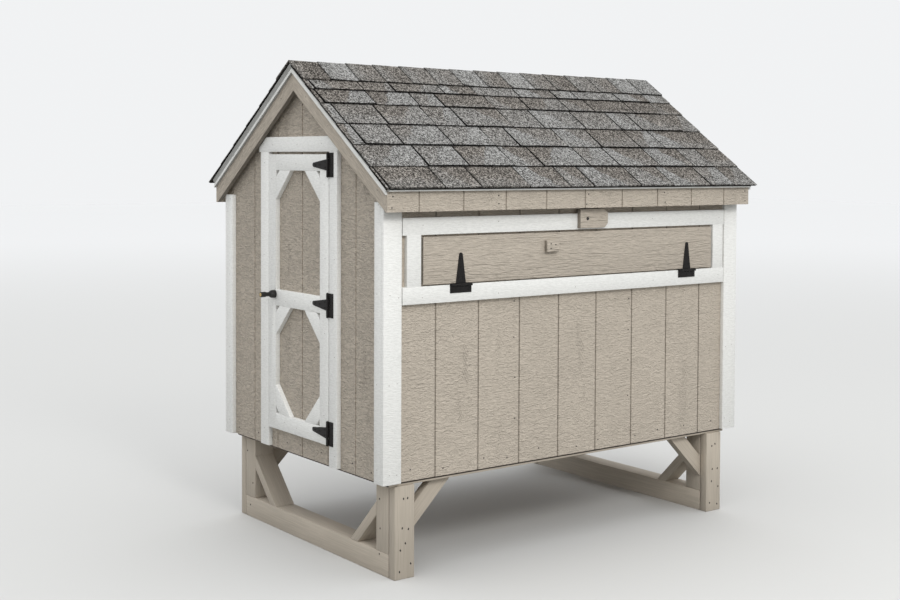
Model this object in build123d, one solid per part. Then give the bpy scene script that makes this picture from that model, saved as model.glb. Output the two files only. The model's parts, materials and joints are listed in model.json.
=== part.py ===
from build123d import *
import math
import os

# A raised chicken coop on skids. A braced walk-in door fills one gable, an egg door runs along one
# side in front of the nest boxes, a ramp door folds down on the other side, and the gable roof
# carries overlapping shingle courses under a row of ridge caps.
# Millimetres. X runs along the ridge with the walk-in door at -X, Y runs across with the egg door
# at -Y, Z is up and 0 is the ground under the skids.

# Stock
LUMBER = 38.0            # thickness of framing lumber
STUD = 64.0              # width of studs, plates, rafters and floor braces
JOIST = 89.0             # width of joists, leg planks and skids
BOARD = 19.0             # thickness of trim and door boards
SIDING = 11.0            # thickness of the grooved siding sheets
FLOOR_PLY = 16.0
ROOF_PLY = 12.0
NEST_PLY = 12.0

# Overall
FRAME_LENGTH = 1828.0    # outside of the wall framing along the ridge
FRAME_WIDTH = 1212.0     # outside of the wall framing across
LEG_HEIGHT = 352.0       # ground to the underside of the floor frame
WALL_HEIGHT = 1009.0     # floor deck to the top of the wall plates
ROOF_PITCH = 34.5        # degrees
SIDING_LIFT = 16.0       # floor frame left showing under the siding

# Siding grooves
GROOVE_PITCH = 203.2
GROOVE_WIDTH = 6.5
GROOVE_DEPTH = 4.0
SIDE_GROOVE = -88.6      # x of one groove on the long walls
GABLE_GROOVE = -8.0      # y of one groove on the gables
FASCIA_GROOVE = -10.2    # x of one groove on the eave fascias

# Legs and skids
SKID_HEIGHT = 89.0
LEG_INSET = 36.0         # legs stop this far in from the walls' ends
FLOOR_INSET = 14.0       # floor frame stops this far in from the walls' ends
LEG_REACH = 8.0          # leg planks stand this far out from the floor frame's sides
SKID_BRACE_RISE = 187.0  # height of a skid brace above the skid
FLOOR_BRACE_DROP = 197.0 # drop of a floor brace below the floor, at the leg
JOIST_COUNT = 5

# Roof
RIDGE_BOARD = 19.0
RIDGE_DEPTH = 89.0
RAFTER_COUNT = 5
RAFTER_SEAT = 38.0       # level seat of the rafter on the wall plate
EAVE_REACH = 70.0        # rafter tail beyond the wall framing
EAVE_CLEAR = 6.0         # siding and trim stop this far below the rafter tails
RAKE_WIDTH = 75.0
SPACER_WIDTH = 45.0      # strip that stands the rake boards off the gable
RAKE_GAP = 2.0           # gap between a rake board and the door trim under it
DRIP = 1.0               # thickness of the metal drip edge and of the roofing felt
DRIP_FLANGE = 50.0
DRIP_NOSE = 22.0         # face of the drip edge below the deck's top
DRIP_KICK = 16.0         # rake drip edge stands out under the shingles' edge
DRIP_LIP = 4.0           # hem kicked out at the bottom of the rake drip edge

# Shingles
SHINGLE = 3.0            # thickness of one shingle layer
EXPOSURE = 142.0         # slope distance from one butt to the next
EAVE_OVERHANG = 19.0     # shingles beyond the eave fascia
RAKE_OVERHANG = 21.0     # shingles beyond the rake board
RIDGE_SETBACK = 8.0      # shingles stop short of the ridge line
CAP_COUNT = 15
CAP_WING = 122.0         # reach of a ridge cap down each slope
TOP_COURSE_SHOW = 66.0   # top course left showing below the caps
LEAST_EXPOSURE = 70.0
TAB_SLOT = 5.0           # joint between two tabs
TAB_WIDTHS = (245.0, 150.0, 225.0, 190.0, 260.0, 125.0, 210.0, 235.0, 170.0)
TAB_START_COUNT = 4      # each course starts this many widths further on

# Corner trim
CORNER_SIDE = 80.0       # board on a long wall
CORNER_GABLE = 45.0      # board on a gable

# Walk-in door
DOOR_WIDTH = 483.0
DOOR_OFFSET = -2.5       # y of the door's middle
DOOR_SILL = 84.0         # siding bottom to door bottom
DOOR_RISE = 123.0        # door top above the wall plates
DOOR_BOARD = 66.0        # width of the hinge stile and the rails
LATCH_STILE = 60.0
DOOR_MID_RAIL = 513.0    # door bottom to the underside of the middle rail
DOOR_LAP = 18.0          # door boards lap the siding around the opening
DOOR_PANEL_GAP = 4.0     # panel inside the siding opening
DOOR_HINGE_GAP = 5.0
DOOR_LATCH_GAP = 2.5
DOOR_HEAD_GAP = 10.0
CORNER_BRACE = 64.0      # width of the boards across the door's corners
BRACE_CORNER = 30.0      # open triangle left in each braced corner
HINGE_JAMB = 58.0        # width of the jamb that carries the hinges
LATCH_JAMB = 68.0
JAMB_LIFT = 3.0          # jambs start this far above the siding bottom
HEADER_DEPTH = 61.0
HEADER_HINGE_END = 5.0   # header beyond the jambs
HEADER_LATCH_END = 14.0
CAM_ROOM = 40.0          # latch stud stands back from the opening so the cam can turn

# T-hinges
HINGE_PLATE = 2.5
BARREL_RADIUS = 5.5
BARREL_CLEAR = 0.2       # barrel stands off the boards
PIN_RADIUS = 2.5
PIN_END = 2.0            # pin beyond the leaf's knuckles
PIN_CLEAR = 0.05
KNUCKLE_GAP = 0.4
STRAP_BASE = 48.0
STRAP_TIP = 8.5          # radius of the strap's rounded tip
STRAP_LENGTH = 122.0     # hinge axis to the strap's tip
DOOR_LEAF = 95.0         # length of a door hinge's leaf along its axis
DOOR_LEAF_WIDTH = 35.0
DOOR_HINGE_INSET = 45.0  # top and bottom hinges from the door's ends, before the lift
DOOR_HINGE_LIFT = 4.0    # all three hinges sit this much higher
FLAP_LEAF = 100.0        # leaf of the egg and ramp doors' hinges
FLAP_LEAF_WIDTH = 31.0

# Door lock
KNOB_FROM_EDGE = 51.0    # knob centre from the door's latch edge
KNOB_HEIGHT = 560.0      # knob centre above the door's bottom
ROSE_RADIUS = 16.5
ROSE_LENGTH = 25.0
ROSE_BEVEL = 7.0
NECK_RADIUS = 9.0
NECK_LENGTH = 43.0       # door face to the knob
KNOB_RADIUS = 11.0
KNOB_LENGTH = 23.0
KNOB_BEVEL = 2.0
SPINDLE_RADIUS = 5.0
SPINDLE_CLEAR = 0.06
SPINDLE_END = 2.5        # spindle beyond the cam
CAM_GAP = 1.5            # cam behind the siding's inner face
CAM_THICKNESS = 3.0
CAM_WIDTH = 18.0
CAM_REACH = 62.0

# Egg door
EGG_FRAME_DROP = 72.0    # siding top to the top of the egg-door frame
EGG_RAIL = 65.0
EGG_STILE = 63.0
RAIL_END = 6.0           # rails of the egg and ramp frames run past the stiles
EGG_END = 140.0          # frame end to the end of the egg panel, before the shift
EGG_SHIFT = 6.5          # egg panel and its frame sit this much further from the walk-in door
EGG_PANEL_HEIGHT = 179.5
EGG_LAP = 18.0           # panel laps the siding around its opening
FLAP_TOP_GAP = 8.5
FLAP_SIDE_GAP = 10.0
FLAP_HINGE_GAP = 5.0
EGG_HINGE_DROP = 3.5     # egg hinges' axis below the middle of the gap
EGG_HINGE_END = 164.0    # hinge centres from the panel's ends, before their own shift
EGG_HINGE_SHIFT = 8.5    # both hinges sit this much further from the walk-in door
PULL_X = -149.0
PULL_LENGTH = 62.0
PULL_HEIGHT = 47.0
PULL_DROP = 30.0         # pull below the panel's top
PULL_EDGE = 2.5

# Turn buttons, turned aside at rest
BUTTON_GAP = 0.5
EGG_BUTTON_X = 32.0
EGG_BUTTON_WIDTH = 77.0
EGG_BUTTON_LENGTH = 150.0
EGG_BUTTON_PIVOT = 21.0  # pivot below the frame's top edge
RAMP_BUTTON_WIDTH = 54.0
RAMP_BUTTON_LENGTH = 104.0
BUTTON_CLIP = 18.0       # clipped corners of the swinging end
SCREW_RADIUS = 3.0
SCREW_HEAD = 6.5
SCREW_HEAD_HEIGHT = 3.0
SCREW_CLEAR = 0.06
SCREW_SHORT = 2.0        # screw stops short of the board's back

# Ramp door
RAMP_FROM_END = 484.0    # frame's end to the ramp's middle
RAMP_WIDTH = 305.0
RAMP_HEIGHT = 610.0
RAMP_LAP = 18.0
RAMP_STEP = 20.0         # floor deck to the opening's sill
RAMP_FRAME = 65.0
RAMP_HINGE_X = 95.0      # hinge centres each side of the ramp's middle
CLEAT = 19.0
CLEAT_END = 10.0         # cleats stop short of the opening's sides
CLEAT_COUNT = 6

# Nest boxes and roosts
NEST_LIP = 21.0          # sill of the egg opening above the nest floor
NEST_COUNT = 5
NEST_HEIGHT = 300.0
NEST_FRONT_HEIGHT = 90.0 # height of the board that keeps the litter in
PERCH_REACH = 78.0
PERCH_ROUND = 10.0
ROOST_X = (250.0, 600.0)
ROOST_DROP = 130.0       # nest floor to the roosts' top
ROOST_CLEAT = 64.0

# Worked-out planes
half_length = FRAME_LENGTH / 2
half_width = FRAME_WIDTH / 2
gable_face = half_length + SIDING
wall_face = half_width + SIDING
gable_trim = gable_face + BOARD
wall_trim = wall_face + BOARD
rake_face = gable_trim + BOARD
stud_face = half_width - STUD
tail_end = half_width + EAVE_REACH
fascia_face = tail_end + SIDING
roof_end = rake_face + RAKE_OVERHANG

floor_bottom = LEG_HEIGHT
floor_top = floor_bottom + JOIST
deck_top = floor_top + FLOOR_PLY
siding_bottom = floor_bottom + SIDING_LIFT
plate_top = deck_top + WALL_HEIGHT

slope = math.radians(ROOF_PITCH)
rise = math.tan(slope)
rafter_plumb = STUD / math.cos(slope)
rake_plumb = RAKE_WIDTH / math.cos(slope)
spacer_plumb = SPACER_WIDTH / math.cos(slope)
roof_peak = plate_top + (half_width - RAFTER_SEAT) * rise + rafter_plumb


def roof_z(y, drop=0.0):
    """Height of the roof deck's underside at y, less a plumb drop."""
    return roof_peak - abs(y) * rise - drop


ridge_top = roof_z(RIDGE_BOARD / 2)
ridge_bottom = ridge_top - RIDGE_DEPTH
siding_top = roof_z(wall_face, rafter_plumb) - EAVE_CLEAR
side_trim_top = roof_z(wall_trim, rafter_plumb) - EAVE_CLEAR


def span(side, near, far):
    """Interval from near to far on one side of the middle plane."""
    return (near, far) if side > 0 else (-far, -near)


def board(x, y, z):
    """Squared piece between three intervals."""
    sizes = [high - low for low, high in (x, y, z)]
    middle = [(high + low) / 2 for low, high in (x, y, z)]
    return Pos(*middle) * Box(*sizes)


def along_x(outline, x):
    """A (y, z) outline run along X."""
    section = Plane.YZ.offset(x[0]) * Polygon(*outline, align=None)
    return extrude(section, x[1] - x[0], dir=(1, 0, 0))


def along_y(outline, y):
    """An (x, z) outline run along Y."""
    section = Plane.XZ.offset(-y[0]) * Polygon(*outline, align=None)
    return extrude(section, y[1] - y[0], dir=(0, 1, 0))


def both_sides(piece):
    return [piece, mirror(piece, about=Plane.XZ)]


def both_ends(piece):
    return [piece, mirror(piece, about=Plane.YZ)]


def four_corners(piece):
    return [copy for half in both_sides(piece) for copy in both_ends(half)]


def under_roof(piece, drop=0.0):
    """Trim a piece to the space below the roof deck, less a plumb drop."""
    reach = fascia_face
    outline = [
        (-reach, 0),
        (reach, 0),
        (reach, roof_z(reach, drop)),
        (0, roof_z(0, drop)),
        (-reach, roof_z(reach, drop)),
    ]
    return piece & along_x(outline, (-roof_end, roof_end))


def groove_marks(start, low, high):
    """Groove positions of one sheet, an even pitch apart from a start."""
    first = math.ceil((low - start) / GROOVE_PITCH)
    last = math.floor((high - start) / GROOVE_PITCH)
    return [start + count * GROOVE_PITCH for count in range(first, last + 1)]


def groove_long_wall(sheets, start, side, face):
    """Cut upright grooves into the outer face of sheets on a long wall."""
    y = span(side, face - GROOVE_DEPTH, face)
    cuts = []
    for mark in groove_marks(start, -gable_face, gable_face):
        cuts.append(board((mark - GROOVE_WIDTH / 2, mark + GROOVE_WIDTH / 2), y, (0, roof_peak)))
    return [sheet - cuts for sheet in sheets]


def groove_gable(sheets, end):
    """Cut upright grooves into the outer face of sheets on a gable."""
    x = span(end, gable_face - GROOVE_DEPTH, gable_face)
    cuts = []
    for mark in groove_marks(GABLE_GROOVE, -half_width, half_width):
        cuts.append(board(x, (mark - GROOVE_WIDTH / 2, mark + GROOVE_WIDTH / 2), (0, roof_peak)))
    return [sheet - cuts for sheet in sheets]


# Legs, skids and floor
leg_outer = half_length - LEG_INSET
leg_inner = leg_outer - JOIST
floor_end = half_length - FLOOR_INSET
leg_side = half_width + LEG_REACH
skid_end = leg_side - LUMBER
post_edge = skid_end - JOIST
rim_inner = half_width - LUMBER


def skids():
    front, rear = [
        board(span(end, leg_inner, leg_outer), (-skid_end, skid_end), (0, SKID_HEIGHT))
        for end in (-1, 1)
    ]
    return front, rear


def leg_planks():
    plank = board((leg_inner, leg_outer), (skid_end, leg_side), (0, floor_bottom))
    return four_corners(plank)


def leg_posts():
    post = board((leg_inner, leg_outer), (post_edge, skid_end), (SKID_HEIGHT, floor_bottom))
    return four_corners(post)


def skid_braces():
    """Flat lumber at 45 degrees from the skid up to each post."""
    thick = LUMBER * math.sqrt(2)
    outline = [
        (post_edge, SKID_HEIGHT + SKID_BRACE_RISE),
        (post_edge - SKID_BRACE_RISE, SKID_HEIGHT),
        (post_edge - SKID_BRACE_RISE + thick, SKID_HEIGHT),
        (post_edge, SKID_HEIGHT + SKID_BRACE_RISE - thick),
    ]
    return four_corners(along_x(outline, (leg_inner, leg_outer)))


def floor_braces():
    """Lumber at 45 degrees from each post up to the floor."""
    wide = STUD * math.sqrt(2)
    foot = floor_bottom - FLOOR_BRACE_DROP
    outline = [
        (leg_inner, foot),
        (leg_inner, foot + wide),
        (leg_inner - FLOOR_BRACE_DROP + wide, floor_bottom),
        (leg_inner - FLOOR_BRACE_DROP, floor_bottom),
    ]
    return four_corners(along_y(outline, (skid_end - LUMBER, skid_end)))


def floor_frame():
    z = (floor_bottom, floor_top)
    pieces = both_sides(board((-floor_end, floor_end), (rim_inner, half_width), z))
    step = (2 * floor_end - LUMBER) / (JOIST_COUNT - 1)
    for count in range(JOIST_COUNT):
        start = -floor_end + count * step
        pieces.append(board((start, start + LUMBER), (-rim_inner, rim_inner), z))
    return pieces


def floor_deck():
    return [board((-half_length, half_length), (-half_width, half_width), (floor_top, deck_top))]


# Openings in the walls
door_low = DOOR_OFFSET - DOOR_WIDTH / 2
door_high = DOOR_OFFSET + DOOR_WIDTH / 2
door_bottom = siding_bottom + DOOR_SILL
door_top = plate_top + DOOR_RISE
door_way_y = (door_low + DOOR_LAP, door_high - DOOR_LAP)
door_way_z = (door_bottom + DOOR_LAP, door_top - DOOR_LAP)

egg_half = half_length - EGG_END
egg_x = (EGG_SHIFT - egg_half, EGG_SHIFT + egg_half)
egg_frame_top = siding_top - EGG_FRAME_DROP
egg_top = egg_frame_top - EGG_RAIL - FLAP_TOP_GAP
egg_bottom = egg_top - EGG_PANEL_HEIGHT
egg_way_half = egg_half - EGG_LAP
egg_way_z = (egg_bottom + EGG_LAP, egg_top - EGG_LAP)

ramp_middle = RAMP_FROM_END - half_length
ramp_way_x = (ramp_middle - RAMP_WIDTH / 2 + RAMP_LAP, ramp_middle + RAMP_WIDTH / 2 - RAMP_LAP)
ramp_bottom = deck_top + RAMP_STEP - RAMP_LAP
ramp_top = ramp_bottom + RAMP_HEIGHT
ramp_way_z = (ramp_bottom + RAMP_LAP, ramp_top - RAMP_LAP)

nest_floor_bottom = egg_way_z[0] - NEST_LIP - NEST_PLY
nest_floor_top = nest_floor_bottom + NEST_PLY
nest_front = door_way_y[0] - LUMBER


# Wall framing
sole_z = (deck_top, deck_top + LUMBER)
head_z = (plate_top - LUMBER, plate_top)
stud_z = (sole_z[1], head_z[0])


def long_wall_stud(x, side, z):
    return board((x - LUMBER / 2, x + LUMBER / 2), span(side, stud_face, half_width), z)


def wall_frame_egg_side():
    y = span(-1, stud_face, half_width)
    whole = (-half_length, half_length)
    pieces = [board(whole, y, sole_z), board(whole, y, head_z)]
    for x in (half_length - LUMBER / 2, egg_way_half + LUMBER / 2):
        pieces += both_ends(long_wall_stud(x, -1, stud_z))
    between = (-egg_way_half, egg_way_half)
    pieces.append(board(between, y, (nest_floor_bottom - LUMBER, nest_floor_bottom)))
    pieces.append(board(between, y, (egg_way_z[1], egg_way_z[1] + LUMBER)))
    for x in ROOST_X:
        pieces += both_ends(long_wall_stud(x, -1, (sole_z[1], nest_floor_bottom - LUMBER)))
    return pieces


def wall_frame_ramp_side():
    y = span(1, stud_face, half_width)
    low, high = ramp_way_x
    pieces = [
        board((-half_length, low), y, sole_z),
        board((high, half_length), y, sole_z),
        board((-half_length, half_length), y, head_z),
        board((low, high), y, (ramp_way_z[1], ramp_way_z[1] + LUMBER)),
    ]
    pieces += both_ends(long_wall_stud(half_length - LUMBER / 2, 1, stud_z))
    for x in (low - LUMBER / 2, high + LUMBER / 2) + ROOST_X:
        pieces.append(long_wall_stud(x, 1, stud_z))
    return pieces


def gable_stud(end, low):
    """Stud of a gable wall, cut to the rafter or the ridge board above it."""
    stud = board(span(end, half_length - STUD, half_length), (low, low + LUMBER), (deck_top, ridge_bottom))
    return under_roof(stud, rafter_plumb)


def gable_sole(end, low, high):
    return board(span(end, half_length - STUD, half_length), (low, high), sole_z)


def wall_frame_front():
    hinge_stud = door_way_y[0] - LUMBER
    latch_stud = door_way_y[1] + CAM_ROOM
    corner = stud_face - LUMBER
    lows = (-stud_face, hinge_stud - LUMBER, hinge_stud, latch_stud, corner)
    pieces = [gable_stud(-1, low) for low in lows]
    pieces.append(gable_sole(-1, -corner, hinge_stud - LUMBER))
    pieces.append(gable_sole(-1, latch_stud + LUMBER, corner))
    lintel = (door_way_z[1], door_way_z[1] + LUMBER)
    pieces.append(board((-half_length, STUD - half_length), (door_way_y[0], latch_stud), lintel))
    return pieces


def wall_frame_rear():
    lows = (-stud_face, nest_front - LUMBER, -LUMBER / 2, -nest_front, stud_face - LUMBER)
    pieces = [gable_stud(1, low) for low in lows]
    for low, high in zip(lows, lows[1:]):
        pieces.append(gable_sole(1, low + LUMBER, high))
    return pieces


# Siding
def sheets_round(across, upright, way_across, way_upright):
    """Four (across, upright) rectangles that leave an opening between them."""
    return [
        (across, (upright[0], way_upright[0])),
        ((across[0], way_across[0]), way_upright),
        ((way_across[1], across[1]), way_upright),
        (across, (way_upright[1], upright[1])),
    ]


def siding_long_wall(side, way_x, way_z):
    y = span(side, half_width, wall_face)
    layout = sheets_round((-gable_face, gable_face), (siding_bottom, siding_top), way_x, way_z)
    sheets = [board(x, y, z) for x, z in layout]
    return groove_long_wall(sheets, SIDE_GROOVE, side, wall_face)


def siding_front():
    x = span(-1, half_length, gable_face)
    whole = (-half_width, half_width)
    layout = sheets_round(whole, (siding_bottom, roof_peak), door_way_y, door_way_z)
    return groove_gable([under_roof(board(x, y, z)) for y, z in layout], -1)


def siding_rear():
    x = span(1, half_length, gable_face)
    sheet = under_roof(board(x, (-half_width, half_width), (siding_bottom, roof_peak)))
    return groove_gable([sheet], 1)


# White trim
def corner_trims(end):
    pieces = []
    side_x = span(end, gable_trim - CORNER_SIDE, gable_trim)
    gable_x = span(end, gable_face, gable_trim)
    z = (siding_bottom, side_trim_top)
    for side in (-1, 1):
        pieces.append(board(side_x, span(side, wall_face, wall_trim), z))
        pieces.append(board(gable_x, span(side, wall_face - CORNER_GABLE, wall_face), z))
    return pieces


door_x = span(-1, gable_face, gable_trim)
jamb_low = (door_low - DOOR_HINGE_GAP - HINGE_JAMB, door_low - DOOR_HINGE_GAP)
jamb_high = (door_high + DOOR_LATCH_GAP, door_high + DOOR_LATCH_GAP + LATCH_JAMB)
jamb_top = door_top + DOOR_HEAD_GAP
header_top = jamb_top + HEADER_DEPTH


def door_jambs():
    z = (siding_bottom + JAMB_LIFT, jamb_top)
    return [under_roof(board(door_x, y, z), rake_plumb + RAKE_GAP) for y in (jamb_low, jamb_high)]


def door_header():
    y = (jamb_low[0] - HEADER_HINGE_END, jamb_high[1] + HEADER_LATCH_END)
    return [under_roof(board(door_x, y, (jamb_top, header_top)), rake_plumb + RAKE_GAP)]


egg_y = span(-1, wall_face, wall_trim)
egg_hinge_z = egg_bottom - FLAP_HINGE_GAP / 2 - EGG_HINGE_DROP
egg_low_rail_top = egg_bottom - FLAP_HINGE_GAP
egg_pivot = (EGG_BUTTON_X, egg_frame_top - EGG_BUTTON_PIVOT)

ramp_y = span(1, wall_face, wall_trim)
ramp_x = (ramp_middle - RAMP_WIDTH / 2, ramp_middle + RAMP_WIDTH / 2)
ramp_hinge_z = ramp_bottom - FLAP_HINGE_GAP / 2
ramp_low_rail_top = ramp_bottom - FLAP_HINGE_GAP
ramp_high_rail = ramp_top + FLAP_TOP_GAP
ramp_pivot = (ramp_middle, ramp_high_rail + RAMP_FRAME / 2)


def pivot_bore(pivot, y, radius):
    """A round hole along Y through a pivot point."""
    middle = (y[0] + y[1]) / 2
    return Pos(pivot[0], middle, pivot[1]) * Rot(90, 0, 0) * Cylinder(radius, y[1] - y[0])


def egg_frame():
    inner = (egg_x[0] - FLAP_SIDE_GAP, egg_x[1] + FLAP_SIDE_GAP)
    outer = (inner[0] - EGG_STILE, inner[1] + EGG_STILE)
    rails = (outer[0] - RAIL_END, outer[1] + RAIL_END)
    low_rail = board(rails, egg_y, (egg_low_rail_top - EGG_RAIL, egg_low_rail_top))
    top_rail = board(rails, egg_y, (egg_frame_top - EGG_RAIL, egg_frame_top))
    top_rail -= pivot_bore(egg_pivot, egg_y, SCREW_RADIUS)
    stile_z = (egg_low_rail_top, egg_frame_top - EGG_RAIL)
    stiles = [board(x, egg_y, stile_z) for x in ((outer[0], inner[0]), (inner[1], outer[1]))]
    return [low_rail, top_rail] + stiles


def ramp_frame():
    inner = (ramp_x[0] - FLAP_SIDE_GAP, ramp_x[1] + FLAP_SIDE_GAP)
    outer = (inner[0] - RAMP_FRAME, inner[1] + RAMP_FRAME)
    rails = (outer[0] - RAIL_END, outer[1] + RAIL_END)
    low_rail = board(rails, ramp_y, (ramp_low_rail_top - RAMP_FRAME, ramp_low_rail_top))
    top_rail = board(rails, ramp_y, (ramp_high_rail, ramp_high_rail + RAMP_FRAME))
    top_rail -= pivot_bore(ramp_pivot, ramp_y, SCREW_RADIUS)
    stile_z = (ramp_low_rail_top, ramp_high_rail)
    stiles = [board(x, ramp_y, stile_z) for x in ((outer[0], inner[0]), (inner[1], outer[1]))]
    return [low_rail, top_rail] + stiles


# Roof framing and edges
def rafters():
    """Rafter pairs with a birdsmouth on the wall plate and a plumb tail."""
    ridge = RIDGE_BOARD / 2
    outline = [
        (ridge, roof_z(ridge)),
        (tail_end, roof_z(tail_end)),
        (tail_end, roof_z(tail_end, rafter_plumb)),
        (half_width, roof_z(half_width, rafter_plumb)),
        (half_width, plate_top),
        (half_width - RAFTER_SEAT, plate_top),
        (ridge, roof_z(ridge, rafter_plumb)),
    ]
    step = (FRAME_LENGTH - LUMBER) / (RAFTER_COUNT - 1)
    pieces = []
    for count in range(RAFTER_COUNT):
        start = -half_length + count * step
        pieces += both_sides(along_x(outline, (start, start + LUMBER)))
    return pieces


def ridge_board():
    y = (-RIDGE_BOARD / 2, RIDGE_BOARD / 2)
    return [board((-half_length, half_length), y, (ridge_bottom, ridge_top))]


def rake_strip(x, plumb):
    """Strip under the roof deck from the ridge to the rafter tails, one for each slope and end."""
    outline = [
        (0, roof_z(0)),
        (tail_end, roof_z(tail_end)),
        (tail_end, roof_z(tail_end, plumb)),
        (0, roof_z(0, plumb)),
    ]
    return four_corners(along_x(outline, x))


def eave_fascias():
    """Boards ripped from grooved siding that close the rafter tails and the rake boards' ends."""
    bottom = roof_z(tail_end, rake_plumb)
    outline = [
        (tail_end, bottom),
        (fascia_face, bottom),
        (fascia_face, roof_z(fascia_face)),
        (tail_end, roof_z(tail_end)),
    ]
    plain = along_x(outline, (-rake_face, rake_face))
    pieces = groove_long_wall([plain], FASCIA_GROOVE, 1, fascia_face)
    pieces += groove_long_wall([mirror(plain, about=Plane.XZ)], FASCIA_GROOVE, -1, fascia_face)
    return pieces


def slope_sheet(x, eave, low, high):
    """Sheet on one slope from the ridge to an eave line, between two heights square to the slope."""
    low_plumb = low / math.cos(slope)
    high_plumb = high / math.cos(slope)
    outline = [
        (0, roof_z(0) + low_plumb),
        (eave, roof_z(eave) + low_plumb),
        (eave, roof_z(eave) + high_plumb),
        (0, roof_z(0) + high_plumb),
    ]
    return along_x(outline, x)


flange_run = DRIP_FLANGE * math.cos(slope)
felt_eave = fascia_face - flange_run
shingle_bed = ROOF_PLY + DRIP
eave_run = (fascia_face + EAVE_OVERHANG) / math.cos(slope)


def roof_deck():
    return both_sides(slope_sheet((-rake_face, rake_face), fascia_face, 0, ROOF_PLY))


def roof_felt():
    x = (DRIP_FLANGE - rake_face, rake_face - DRIP_FLANGE)
    return both_sides(slope_sheet(x, felt_eave, ROOF_PLY, shingle_bed))


def drip_edge_eaves():
    """Bent strips: a flange on the deck and a nose in front of the fascia."""
    deck_edge = roof_z(fascia_face) + ROOF_PLY / math.cos(slope)
    skin = DRIP / math.cos(slope)
    nose = fascia_face + DRIP
    outline = [
        (felt_eave, deck_edge + flange_run * rise),
        (fascia_face, deck_edge),
        (fascia_face, deck_edge - DRIP_NOSE),
        (nose, deck_edge - DRIP_NOSE),
        (nose, deck_edge + skin - DRIP * rise),
        (felt_eave, deck_edge + flange_run * rise + skin),
    ]
    return both_sides(along_x(outline, (-rake_face, rake_face)))


def drip_edge_rakes():
    """Bent strips: a flange on the deck, a face slanting back to the rake board and a kicked-out lip."""
    flange = slope_sheet((rake_face - DRIP_FLANGE, rake_face), felt_eave, ROOF_PLY, shingle_bed)
    outer = rake_face + DRIP_KICK
    toe = ROOF_PLY - DRIP_NOSE
    section = [
        (rake_face, shingle_bed),
        (rake_face, ROOF_PLY),
        (outer - DRIP, ROOF_PLY),
        (rake_face, toe),
        (rake_face + DRIP_LIP, toe - DRIP_LIP),
        (rake_face + DRIP_LIP + DRIP, toe - DRIP_LIP),
        (rake_face + 2 * DRIP, toe),
        (outer, ROOF_PLY),
        (outer, shingle_bed),
    ]
    up_slope = (0, -math.cos(slope), math.sin(slope))
    ridge_line = Plane((0, 0, roof_peak), x_dir=(1, 0, 0), z_dir=up_slope)
    sketch = ridge_line.offset(-eave_run) * Polygon(*section, align=None)
    strip = extrude(sketch, eave_run + DRIP_FLANGE, dir=up_slope)
    nose = strip & board((0, roof_end), (0, fascia_face + DRIP), (0, 2 * roof_peak))
    return four_corners(flange + nose)


# Shingles
top_butt = CAP_WING + TOP_COURSE_SHOW
lean = SHINGLE / EXPOSURE


def course_butts():
    """Slope distance from the ridge to each course's lower edge, from the eave up."""
    butts = [eave_run]
    while butts[-1] - EXPOSURE > top_butt + LEAST_EXPOSURE:
        butts.append(butts[-1] - EXPOSURE)
    return butts + [top_butt]


def on_slope(run, height):
    """(y, z) of a point down the slope from the ridge and square above the shingles' bed."""
    above = shingle_bed + height
    y = run * math.cos(slope) + above * math.sin(slope)
    z = roof_peak - run * math.sin(slope) + above * math.cos(slope)
    return (y, z)


def bed_height(course, run):
    """Underside of a course: every course leans a little and lies on the one below it."""
    return lean * (run - eave_run + 2 * EXPOSURE) + course * SHINGLE


def layer(top, bottom, floor, ceiling, x):
    """Sheet between two slope distances, with an underside and a top given by functions."""
    outline = [
        on_slope(bottom, floor(bottom)),
        on_slope(bottom, ceiling(bottom)),
        on_slope(top, ceiling(top)),
        on_slope(top, floor(top)),
    ]
    return along_x(outline, x)


def tab_joints(course):
    """X of the joints between tabs, stepping through the tab widths from a shifted start."""
    joints = []
    count = course * TAB_START_COUNT
    x = -roof_end + TAB_WIDTHS[count % len(TAB_WIDTHS)] * 0.6
    while x < roof_end - TAB_SLOT:
        joints.append(x)
        count += 1
        x += TAB_WIDTHS[count % len(TAB_WIDTHS)]
    return joints


def shingle_course(course, butts):
    """One strip from its butt to a headlap of one exposure, slotted into tabs where it shows."""
    def underside(run):
        return bed_height(course, run)

    def top_side(run):
        return bed_height(course + 1, run)

    butt = butts[course]
    head = max(butt - 2 * EXPOSURE, RIDGE_SETBACK)
    strip = layer(head, butt, underside, top_side, (-roof_end, roof_end))
    covered = butts[course + 1] if course + 1 < len(butts) else CAP_WING
    slots = []
    for x in tab_joints(course):
        slot_x = (x - TAB_SLOT / 2, x + TAB_SLOT / 2)
        slots.append(layer(covered, butt, underside, top_side, slot_x))
    return strip - slots


def shingles():
    """The starter strip at the eave and the courses above it, on the +Y slope."""
    butts = course_butts()
    starter = layer(
        eave_run - EXPOSURE,
        eave_run,
        lambda run: 0.0,
        lambda run: bed_height(0, run),
        (-roof_end, roof_end),
    )
    return [starter] + [shingle_course(course, butts) for course in range(len(butts))]


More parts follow.
